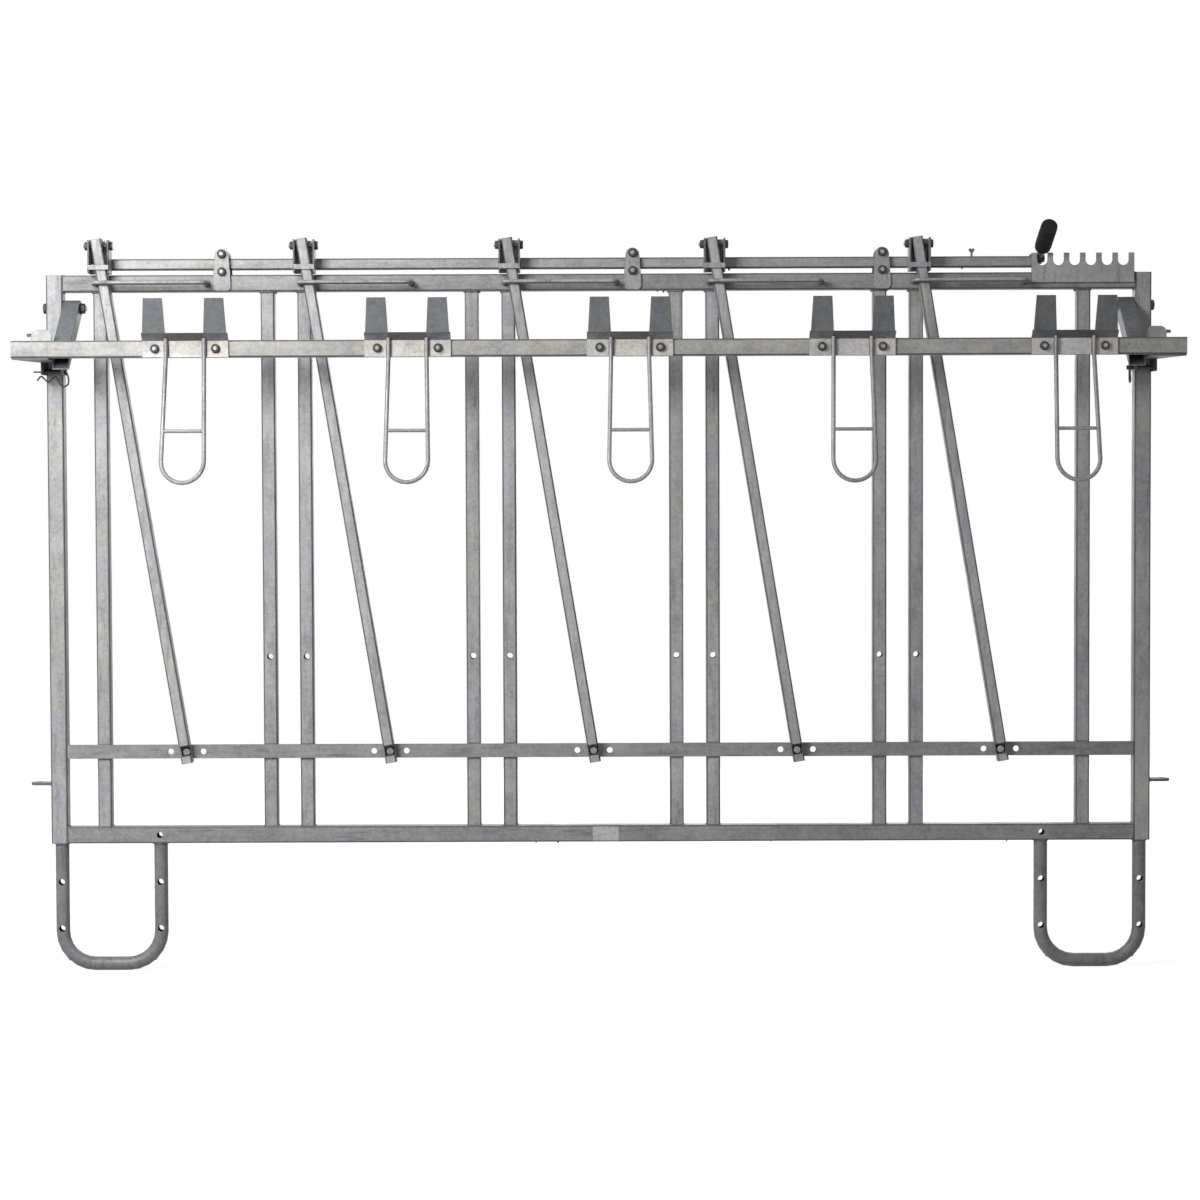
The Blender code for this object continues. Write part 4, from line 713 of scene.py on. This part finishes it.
def rib_tree(material, values):
    """Round ribs spaced along a line, square to it."""
    tree, start = new_group("grip_rib", values)
    steps = add_node(tree, "GeometryNodeCurveToPoints",
                     {"Curve": curve_from(tree, start["Geometry"]), "Length": start["Pitch"]},
                     mode="LENGTH").outputs
    rib = swept(tree, circle(tree, start["Radius"], 40), circle(tree, start["Rib"], 8))
    end_group(tree, on_points(tree, steps["Points"], rib, Rotation=steps["Rotation"]), material)
    return tree


def hexagon(tree, radius, height):
    """A hexagon prism on the ground, its upper corners cut by a flat cone as on a real bolt.

    The prism is longer than the cone at both ends, so that no two cut faces lie in one plane.
    """
    prism = add_node(tree, "GeometryNodeMeshCylinder",
                     {"Radius": radius, "Depth": times(tree, height, 1.2)},
                     {"Vertices": 6}).outputs["Mesh"]
    prism = lifted(tree, prism, times(tree, height, 0.5))
    top = times(tree, radius, 0.82)
    # the cone's side slopes at 30 degrees
    foot = maths(tree, "ADD", top, times(tree, height, 1.732))
    cone = add_node(tree, "GeometryNodeMeshCone",
                    {"Radius Top": top, "Radius Bottom": foot, "Depth": height},
                    {"Vertices": 32}).outputs["Mesh"]
    return add_node(tree, "GeometryNodeMeshBoolean", {"Mesh 2": [prism, cone]},
                    operation="INTERSECT", solver="EXACT").outputs["Mesh"]


def bolt_tree(bright, dull, values):
    """A bolt on each point: head on the point, shank behind it, and a nut where the grip ends."""
    tree, start = new_group("hexagon_bolt", values)
    corner, radius, pitch = start["Head Radius"], start["Shank"], start["Pitch"]
    tail_length, thick = start["Tail"], start["Washer Thickness"]
    # dull is the darker plated zinc: painted shade on the head's sides, the washers, the nut and the
    # shank, while the head's top and the tail keep the bright zinc
    normal = add_node(tree, "GeometryNodeInputNormal").outputs["Normal"]
    upward = add_node(tree, "ShaderNodeSeparateXYZ", {"Vector": normal}).outputs["Z"]
    # faces that don't point along the bolt, the head's sides, take the painted shade
    sideways = maths(tree, "LESS_THAN", upward, 0.95)

    ring = circle(tree, times(tree, maths(tree, "ADD", start["Washer"], radius), 0.5), 24)
    section = add_node(tree, "GeometryNodeCurvePrimitiveQuadrilateral",
                       {"Width": maths(tree, "SUBTRACT", start["Washer"], radius),
                        "Height": thick}).outputs["Curve"]
    washer = coated(tree, lifted(tree, swept(tree, ring, section), times(tree, thick, 0.5)), dull)

    head = coated(tree, hexagon(tree, corner, start["Head Height"]), bright)
    head = coated(tree, head, dull, Selection=sideways)
    head = joined(tree, lifted(tree, head, thick), washer)

    nut = lifted(tree, coated(tree, hexagon(tree, corner, start["Nut Height"]), dull), thick)
    nut_top = maths(tree, "ADD", thick, start["Nut Height"])
    # the tail's core tapers a little, and its thread ends short of its tip
    core = add_node(tree, "GeometryNodeMeshCone",
                    {"Radius Top": times(tree, radius, 0.78), "Radius Bottom": times(tree, radius, 0.92),
                     "Depth": tail_length}, {"Vertices": 20}).outputs["Mesh"]
    coil = add_node(tree, "GeometryNodeCurveSpiral",
                    {"Rotations": maths(tree, "DIVIDE", tail_length, pitch),
                     "Start Radius": times(tree, radius, 0.92), "End Radius": times(tree, radius, 0.80),
                     "Height": times(tree, tail_length, 0.8)}, {"Resolution": 16}).outputs["Curve"]
    thread = swept(tree, coil, circle(tree, times(tree, pitch, 0.3), 5), **{"Fill Caps": True})
    tail = coated(tree, lifted(tree, joined(tree, core, thread), nut_top), bright)
    nut = joined(tree, nut, washer, tail)

    shank = add_node(tree, "GeometryNodeMeshCylinder", {"Radius": radius},
                     {"Vertices": 20, "Depth": 1.0}).outputs["Mesh"]
    shank = add_node(tree, "GeometryNodeTransform", {"Geometry": shank},
                     {"Translation": (0.0, 0.0, -0.5)}).outputs["Geometry"]
    shank = coated(tree, shank, dull)

    axis, size, grip = carried(tree, "axis", "FLOAT_VECTOR"), carried(tree, "size"), carried(tree, "grip")
    back = add_node(tree, "ShaderNodeVectorMath", {0: axis}, {"Scale": -1.0},
                    operation="SCALE").outputs["Vector"]
    outward, inward = (add_node(tree, "FunctionNodeAlignRotationToVector", {"Vector": vector},
                                axis="Z").outputs["Rotation"] for vector in (axis, back))
    to_nut = add_node(tree, "ShaderNodeVectorMath", {0: back, "Scale": grip},
                      operation="SCALE").outputs["Vector"]
    nut_points = add_node(tree, "GeometryNodeSetPosition",
                          {"Geometry": start["Geometry"], "Offset": to_nut}).outputs["Geometry"]
    long = add_node(tree, "ShaderNodeCombineXYZ", {"X": size, "Y": size, "Z": grip}).outputs["Vector"]
    end_group(tree, joined(
        tree, on_points(tree, start["Geometry"], head, Rotation=outward, Scale=size),
        on_points(tree, start["Geometry"], shank, Rotation=outward, Scale=long),
        on_points(tree, nut_points, nut, Rotation=inward, Scale=size)))
    return tree


def points_mesh(rows, names):
    """A mesh of loose points, with attributes: each row is a place and one value for each name."""
    data = bpy.data.meshes.new("points")
    data.from_pydata([tuple(row[0]) for row in rows], [], [])
    for column, name in enumerate(names, 1):
        vector = name == "axis"
        values = data.attributes.new(name, "FLOAT_VECTOR" if vector else "FLOAT", "POINT").data
        for value, row in zip(values, rows):
            setattr(value, "vector" if vector else "value", row[column])
    return data


# Bolts
def make_bolts(name, body, rows, replaced=()):
    """Bolts of one body as one mesh. A row is head seat, outward axis, size and grip."""
    bolt = settings("bolt")
    values = {"Head Radius": bolt.head, "Head Height": bolt.head_height, "Nut Height": bolt.nut_height,
              "Shank": bolt.shank, "Tail": bolt.tail, "Pitch": bolt.pitch, "Washer": bolt.washer,
              "Washer Thickness": bolt.washer_thick}
    tree = bolt_tree(material_for("fastener"), material_for("fastener_side"), values)
    data = grown(points_mesh(rows, ("axis", "size", "grip")), tree, values)
    piece = object_from(name, data, body)
    if replaced:
        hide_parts(*replaced)
    return piece


def bolt_row(node, axis, head_at_high, size=1.0, head=BOLT_HEAD, nut=BOLT_NUT):
    """The bolt that a CAD bolt's box stands for, with its head at the box's high or low end."""
    low, high = low_high(node)
    seat, nut_seat = (low + high) / 2, (low + high) / 2
    nut_end = nut + BOLT_TAIL
    seat[axis] = high[axis] - head if head_at_high else low[axis] + head
    nut_seat[axis] = low[axis] + nut_end if head_at_high else high[axis] - nut_end
    outward = Vector((0, 0, 0))
    outward[axis] = 1 if head_at_high else -1
    return seat, outward, size, (seat - nut_seat).length


def backward_bolt(x, back, z, front):
    """A bolt whose head is behind and whose nut is in front."""
    return Vector((x, back, z)), Vector((0, 1, 0)), 1.0, back - front


def bearing_bolts(node):
    """The two bolts of a bearing, one over and one under the bar."""
    low, high = low_high(node)
    return [backward_bolt(middle_x(node), high.y - BOLT_NUT, high.z - drop, low.y + BOLT_HEAD)
            for drop in BEARING_BOLT_DROPS]


def holder_bolts(node):
    """The two bolts of a bucket holder."""
    return [backward_bolt(middle_x(node) + side * HOLDER_BOLT_X, RAIL_BACK, FRONT_RAIL_Z, HOLDER_FACE)
            for side in (-1, 1)]


def fused_seats(rows, both):
    """Where the solid has plain heads in front, and behind too where both is true."""
    seats = [(seat - axis * grip, -axis) for seat, axis, _, grip in rows]
    if both:
        seats += [(seat, axis) for seat, axis, _, _ in rows]
    return seats


# Weld beads and drips
def ring_points(centre, radius, across, up, steps=20):
    """Points round a circle that ends where it starts."""
    points = []
    for step in range(steps + 1):
        turn = 2 * pi * step / steps
        points.append(Vector(centre) + Vector(across) * radius * cos(turn)
                      + Vector(up) * radius * sin(turn))
    return points


def seam_mesh(seams):
    """A mesh of open edge chains from (points, thickness) pairs."""
    points, edges, thick = [], [], []
    for seam, thickness in seams:
        edges += [(len(points) + index, len(points) + index + 1) for index in range(len(seam) - 1)]
        points += [tuple(point) for point in seam]
        thick += [thickness] * len(seam)
    data = bpy.data.meshes.new("seams")
    data.from_pydata(points, edges, [])
    values = data.attributes.new("thick", "FLOAT", "POINT").data
    for value, thickness in zip(values, thick):
        value.value = thickness
    return data


def seam_across_front(upright, edge, inset=0.002):
    """Seam along the front and the two sides where an upright meets a rail."""
    low, high = low_high(upright)
    return [(low.x, high.y - inset, edge), (low.x, low.y + inset, edge), (low.x + inset, low.y, edge),
            (high.x - inset, low.y, edge), (high.x, low.y + inset, edge), (high.x, high.y - inset, edge)]


def seam_round_end(low, high, x, inset=0.003):
    """Seam round a square tube where its end meets a post."""
    return [(x, y, z) for y, z in
            ((low.y, low.z + inset), (low.y, high.z - inset), (low.y + inset, high.z),
             (high.y - inset, high.z), (high.y, high.z - inset), (high.y, low.z + inset),
             (high.y - inset, low.z), (low.y + inset, low.z), (low.y, low.z + inset))]


def frame_seams():
    """Seams of the fixed frame, where the photograph shows or needs a weld."""
    seams = []
    rails = {}
    post_low, post_high = low_high("left_post")
    for rail in ("top_rail", "bottom_rail"):
        low, high = low_high(rail)
        low.y = high.y - TUBE
        rails[rail] = low, high
        seams += [(seam_round_end(low, high, side * (high.x + WELD_GAP)), 1.0) for side in (-1, 1)]
    cross_low, cross_high = low_high("lower_cross_bar")
    for upright in like("vertical_bar"):
        low, high = low_high(upright)
        seams.append((seam_across_front(upright, rails["bottom_rail"][1].z), 1.0))
        seams.append((seam_across_front(upright, rails["top_rail"][0].z), TOP_BEAD))
        for edge in (cross_low.z, cross_high.z):
            seams.append((((low.x + 0.003, cross_high.y, edge), (high.x - 0.003, cross_high.y, edge)),
                          CROSS_BEAD))
    for foot in ("foot_left", "foot_right"):
        low, high = low_high(foot)
        radius = (high.y - low.y) / 2
        for x in (low.x + radius, high.x - radius):
            seams.append((ring_points((x, (high.y + low.y) / 2, high.z), radius + 0.0004,
                                      (1, 0, 0), (0, 1, 0)), FOOT_BEAD))
    # guide rods end in a blob of weld on the top rail's front
    for bolt in like("pivot_bolt"):
        for offset, thickness in ROD_ENDS:
            end = (middle_x(bolt) + offset, FRAME_FACE - 0.0006, FRAME_TOP - ROD_DROP)
            seams.append((ring_points(end, ROD_RADIUS, (1, 0, 0), (0, 0, 1), 12), thickness))
    for node in ["notched_comb"] + like("bearing_plate"):
        low, high = low_high(node)
        inset = 0.004 if node == "notched_comb" else 0.007
        seams.append((((low.x + inset, FRAME_FACE - 0.0004, low.z),
                       (high.x - inset, FRAME_FACE - 0.0004, low.z)), PLATE_BEAD))
    # the linking eyes on the posts' outer sides
    for x in (post_high.x - TUBE, TUBE - post_high.x):
        for height in EYE_HEIGHTS:
            for z in (height - EYE_HALF, height + EYE_HALF):
                seams.append((((x, post_low.y + 0.004, z), (x, post_high.y - 0.004, z)), 1.0))
    return seams


def control_seams():
    """Seams between the control bar and its stirrups."""
    seams = []
    for node in like("bar_stirrup"):
        low, high = low_high(node)
        seams += [([(x, high.y, CONTROL_BAR_TOP - drop) for drop in STIRRUP_SEAM_DROPS], STIRRUP_BEAD)
                  for x in (low.x, high.x)]
    return seams


def feed_rail_seams():
    """Seams of the front rail's brackets and of the wire loops on their plates."""
    seams = []
    top, reach = FRONT_RAIL_Z + TUBE / 2, 0.012
    for side in (-1, 1):
        seams.append(([(side * x, RAIL_BACK, top) for x in SADDLE_SEAM_X], PLATE_BEAD))
        for x in BRACKET_SEAM_X:
            seams.append(([(side * x, RAIL_BACK, FRONT_RAIL_Z + end) for end in (-reach, reach)], 1.0))
    for node in like("bucket_holder"):
        for wire in (-HOLDER_TAB_X, HOLDER_TAB_X):
            for edge in (-WIRE_HALF, WIRE_HALF):
                x = middle_x(node) + wire + edge
                seams.append((((x, HOLDER_FACE, FRONT_RAIL_Z - reach),
                               (x, HOLDER_FACE, FRONT_RAIL_Z + reach / 2)), LOOP_BEAD))
    return seams


def make_beads(name, body, seams):
    """Weld beads of one body, as one mesh."""
    beads = settings("bead")
    values = {"Radius": beads.radius, "Pitch": beads.pitch, "Seed": beads.seed}
    data = grown(seam_mesh(seams), bead_tree(material_for("weld"), values), values)
    return object_from(name, data, body)


def make_drips(name, body, rows):
    """Drips of zinc of one body, as one mesh. A row is a place and a size."""
    values = {"Radius": settings("bead").drip}
    # the drips wear the corner zinc, which is darkened as painted shade
    data = grown(points_mesh(rows, ("size",)), drip_tree(material_for("corner"), values), values)
    return object_from(name, data, body)


# Finish of a face, from its place on the piece
def holder_finish(holder_x):
    """A function that gives a holder's face its finish: plate, edge, wire, tab or bend, the tabs and bend
    being darker zinc as painted shade.
    """
    bend = FRONT_RAIL_Z + TUBE / 2
    tab_bottom = bend + 0.0115

    def finish_of(face, part):
        middle = face.calc_center_median()
        if part == 0 and face_width(face) < settings("edge").narrow:
            return 2
        # faces above the bend: the tabs and the bend, both darkened as painted shade
        if middle.z > bend + 0.0005:
            below_tab = abs(middle.x - holder_x) > HOLDER_TAB_X
            return 3 if part == 0 and (middle.z > tab_bottom or below_tab) else 4
        return part

    return finish_of


def top_rail_finish(face, part):
    """The top rail's finish: the guide rods in front of it take the paler plate zinc above as a painted
    highlight and the dark corner zinc below as painted shade.
    """
    if face.calc_center_median().y > FRAME_FACE - 0.0005:
        return part
    # rod faces that point down get the dark corner zinc as painted shade, the others the paler plate zinc
    # as painted highlight
    return 1 if face.normal.z < -0.3 else 2


def front_rail_finish(face, part):
    """The front rail's finish: its saddles above take the plates' zinc, its ears below the arms' darker
    zinc, which is painted shade.
    """
    height = face.calc_center_median().z - FRONT_RAIL_Z
    if part or abs(height) < TUBE / 2 + 0.001:
        return part
    return 2 if height < 0 else 3


def label_on_rail():
    """A thin blank label, slightly round at its corners, on the bottom rail's front."""
    label = settings("label")
    low, high = low_high("bottom_rail")
    middle = Vector((label.middle_x, low.y, (low.z + high.z) / 2))
    outline = []
    for index, (sx, sz) in enumerate(((1, 1), (-1, 1), (-1, -1), (1, -1))):
        for step in range(5):
            turn = pi / 2 * (index + step / 4)
            outline.append((sx * (label.width / 2 - label.corner) + label.corner * cos(turn),
                            sz * (label.height / 2 - label.corner) + label.corner * sin(turn)))
    mesh = bmesh.new()
    front, back = ([mesh.verts.new((middle.x + x, middle.y + y, middle.z + z)) for x, z in outline]
                   for y in (-label.thick, 0.0002))
    mesh.faces.new(front)
    mesh.faces.new(back)
    for index in range(len(outline)):
        after = (index + 1) % len(outline)
        mesh.faces.new((front[index], front[after], back[after], back[index]))
    bmesh.ops.recalc_face_normals(mesh, faces=mesh.faces)
    data = mesh_data("rail_label", mesh)
    data.materials.append(material_for("paper"))
    return object_from("rail_label", data, BODY_OF["bottom_rail"])


# Operators
class FEED_OT_frame(bpy.types.Operator):
    """Finish the posts, rails, uprights, feet, comb and bearing plates"""
    bl_idname = "feed_front.frame"
    bl_label = "Frame"

    def execute(self, context):
        for node in like("vertical_bar") + ["left_post", "right_post"]:
            rounded_copy(node, ("upright", "corner"))
        for node in ("foot_left", "foot_right"):
            rounded_copy(node, ("foot", "corner"))
        for node in ("bottom_rail", "lower_cross_bar"):
            rounded_copy(node, ("rail", "corner"))
        rounded_copy("top_rail", ("rail", "corner", "plate"), choose=top_rail_finish)
        rounded_copy("notched_comb", ("plate", "corner"))
        for node in like("bearing_plate"):
            rounded_copy(node, ("plate", "corner"), fused_seats(bearing_bolts(node), True))
        return {"FINISHED"}


class FEED_OT_control(bpy.types.Operator):
    """Finish the control bar, its stirrups, its wing screw and the lever"""
    bl_idname = "feed_front.control"
    bl_label = "Control bar and lever"

    def execute(self, context):
        rounded_copy("control_bar", ("bar", "corner"))
        for node in like("bar_stirrup"):
            rounded_copy(node, ("plate", "corner"))
        rounded_copy("control_bar_screw", ("weld", "corner"))
        rounded_copy("handle_lever", ("plate", "corner"))
        rounded_copy("handle_grip", ("rubber", "rubber"), width=0.0022)
        low, high = low_high("handle_grip")
        middle = (low + high) / 2
        along = (middle - Vector(PIVOT_OF["handle_lift"])).normalized()
        grip = settings("grip")
        values = {"Radius": GRIP_RADIUS - 0.5 * grip.rib, "Rib": grip.rib, "Pitch": grip.pitch}
        line = [middle + along * end for end in GRIP_RIB_ENDS]
        data = grown(seam_mesh([(line, 1.0)]), rib_tree(material_for("rubber"), values), values)
        object_from("grip_ribs", data, BODY_OF["handle_grip"])
        return {"FINISHED"}


class FEED_OT_swing_bars(bpy.types.Operator):
    """Finish the five leaning swing bars"""
    bl_idname = "feed_front.swing_bars"
    bl_label = "Swing bars"

    def execute(self, context):
        for node in like("swing_bar"):
            rounded_copy(node, ("swing", "corner"))
        return {"FINISHED"}


class FEED_OT_feed_rail(bpy.types.Operator):
    """Finish the front rail, its arms and the bucket holders"""
    bl_idname = "feed_front.feed_rail"
    bl_label = "Feed rail"

    def execute(self, context):
        rounded_copy("front_rail", ("front", "corner", "arm_in_painted_shade", "plate"), choose=front_rail_finish)
        for node in like("rail_arm"):
            rounded_copy(node, ("arm_in_painted_shade", "corner"))
        for node in like("bucket_holder"):
            middle = middle_x(node)
            rounded_copy(node, ("holder", "corner", "loop", "tab", "lip_in_painted_shade"),
                         fused_seats(holder_bolts(node), False), holder_finish(middle),
                         cuts=(middle - HOLDER_TAB_X, middle + HOLDER_TAB_X))
        return {"FINISHED"}


class FEED_OT_fasteners(bpy.types.Operator):
    """Make the bolts with their nuts and washers, and finish pins and spring clips"""
    bl_idname = "feed_front.fasteners"
    bl_label = "Fasteners"

    def execute(self, context):
        rows = [bolt_row(node, 1, False) for node in like("pivot_bolt")]
        rows += [bolt_row(node, 0, node == "arm_bolt_right", ARM_BOLT_SIZE, ARM_BOLT_END, ARM_BOLT_END)
                 for node in like("arm_bolt")]
        for node in like("bearing_plate"):
            rows += bearing_bolts(node)
        make_bolts("frame_bolts", "frame", rows, like("pivot_bolt") + like("arm_bolt"))
        replaced = like("stirrup_bolt") + ["handle_bolt"]
        make_bolts("control_bar_bolts", "control_slider",
                   [bolt_row(node, 0, True) for node in replaced], replaced)
        make_bolts("bucket_holder_bolts", "feed_rail",
                   [row for node in like("bucket_holder") for row in holder_bolts(node)])
        for node in like("stop_pin"):
            rounded_copy(node, ("fastener_side", "fastener_side"), width=0.0008)
        for node in like("hairpin"):
            rounded_copy(node, ("wire", "wire"), width=0.0003)
        return {"FINISHED"}


class FEED_OT_welds(bpy.types.Operator):
    """Lay weld beads along the joints and hang drips of zinc below the tubes"""
    bl_idname = "feed_front.welds"
    bl_label = "Welds and drips"

    def execute(self, context):
        make_beads("frame_weld_beads", "frame", frame_seams())
        make_beads("control_bar_weld_beads", "control_slider", control_seams())
        make_beads("front_rail_weld_beads", "feed_rail", feed_rail_seams())
        under_bar = CONTROL_BAR_TOP - BAR_BOTTOM
        bar_y = low_high("bar_stirrup_1")[1].y + DRIP_INSET
        make_drips("control_bar_drips", "control_slider",
                   [((x, bar_y, under_bar), size) for x, size in BAR_DRIPS])
        low, high = low_high("bottom_rail")
        rows = [((x, low.y + DRIP_INSET, low.z), size) for x, size in BOTTOM_DRIPS]
        rows += [((x, FRAME_FACE + DRIP_INSET, FRAME_TOP - TUBE), size) for x, size in TOP_DRIPS]
        # the lowest drips froze on the outside of the feet's bends
        for foot in ("foot_left", "foot_right"):
            low, high = low_high(foot)
            rows += [((x, (low.y + high.y) / 2, FOOT_DRIP_Z), FOOT_DRIP_SIZE) for x in
                     (low.x + FOOT_DRIP_INSET, high.x - FOOT_DRIP_INSET)]
        make_drips("frame_drips", "frame", rows)
        return {"FINISHED"}


class FEED_OT_label(bpy.types.Operator):
    """Put the blank label on the bottom rail"""
    bl_idname = "feed_front.label"
    bl_label = "Label"

    def execute(self, context):
        label_on_rail()
        return {"FINISHED"}


class FEED_OT_stage(bpy.types.Operator):
    """Set up the floor, the lights, the room light and the camera"""
    bl_idname = "feed_front.stage"
    bl_label = "Stage"

    def execute(self, context):
        stage = settings("stage")
        context.scene.view_settings.view_transform = "Standard"
        data = bpy.data.meshes.new("studio_floor")
        # just under the feet, so that the two don't share a plane
        data.from_pydata([(x * stage.floor_reach, y * stage.floor_reach, -0.0005) for x, y in
                          ((-1, -1), (1, -1), (1, 1), (-1, 1))], [], [(0, 1, 2, 3)])
        data.materials.append(studio_floor("matt_white_floor"))
        floor = shown("studio_floor", data)

        for name, size, place, aim in LAMPS:
            lamp = bpy.data.lights.new(name + "_light", "AREA")
            lamp.energy = getattr(stage, name + "_power")
            lamp.size = size
            light = shown(name + "_light", lamp)
            light.location = place
            light.rotation_euler = (Vector(aim) - Vector(place)).to_track_quat("-Z", "Y").to_euler()

        world = bpy.data.worlds.new("even_room_light")
        context.scene.world = world
        world.use_nodes = True
        tree = world.node_tree
        tree.nodes.clear()
        level = spread(tree, background_rays(tree), 0.0, 1.0, stage.sky, 1.0)
        light = add_node(tree, "ShaderNodeBackground", {"Strength": level}, {"Color": WHITE})
        add_node(tree, "ShaderNodeOutputWorld", {"Surface": light.outputs["Background"]})

        lens = bpy.data.cameras.new("photograph_camera")
        lens.lens = stage.lens
        lens.sensor_width = 36.0
        lens.sensor_fit = "HORIZONTAL"
        lens.clip_end = 100.0
        camera = shown("photograph_camera", lens)
        turn = (Matrix.Rotation(-stage.yaw, 4, "Z") @ Matrix.Rotation(pi / 2 - stage.pitch, 4, "X")
                @ Matrix.Rotation(-stage.roll, 4, "Z"))
        camera.matrix_world = Matrix.Translation(Vector(stage.eye)) @ turn
        context.scene.camera = camera
        return {"FINISHED"}


class FEED_PT_panel(bpy.types.Panel):
    """Steps and sizes of the feed front, in the 3D view's sidebar"""
    bl_idname = "FEED_PT_panel"
    bl_label = "Feed Front"
    bl_space_type = "VIEW_3D"
    bl_region_type = "UI"
    bl_category = "Feed Front"

    def draw(self, context):
        layout = self.layout
        for name, group in SETTINGS.items():
            box = layout.box()
            box.label(text=name.capitalize())
            for key in group.__annotations__:
                box.prop(settings(name), key)
        for operator in OPERATORS:
            layout.operator(operator.bl_idname)


SETTINGS = {"zinc": ZincFinishSettings, "edge": EdgeSettings, "bead": BeadSettings, "bolt": BoltSettings,
            "grip": GripSettings, "label": LabelSettings, "stage": StageSettings}
OPERATORS = (FEED_OT_frame, FEED_OT_control, FEED_OT_swing_bars, FEED_OT_feed_rail, FEED_OT_fasteners,
             FEED_OT_welds, FEED_OT_label, FEED_OT_stage)


def register():
    for group in SETTINGS.values():
        bpy.utils.register_class(group)
    for name, group in SETTINGS.items():
        setattr(bpy.types.Scene, "feed_front_" + name, PointerProperty(type=group))
    for operator in OPERATORS:
        bpy.utils.register_class(operator)
    bpy.utils.register_class(FEED_PT_panel)


def unregister():
    bpy.utils.unregister_class(FEED_PT_panel)
    for operator in reversed(OPERATORS):
        bpy.utils.unregister_class(operator)
    for name, group in reversed(SETTINGS.items()):
        delattr(bpy.types.Scene, "feed_front_" + name)
        bpy.utils.unregister_class(group)


def main():
    register()
    for step in ("frame", "control", "swing_bars", "feed_rail", "fasteners", "welds", "label", "stage"):
        getattr(bpy.ops.feed_front, step)()


if __name__ == "__main__":
    main()
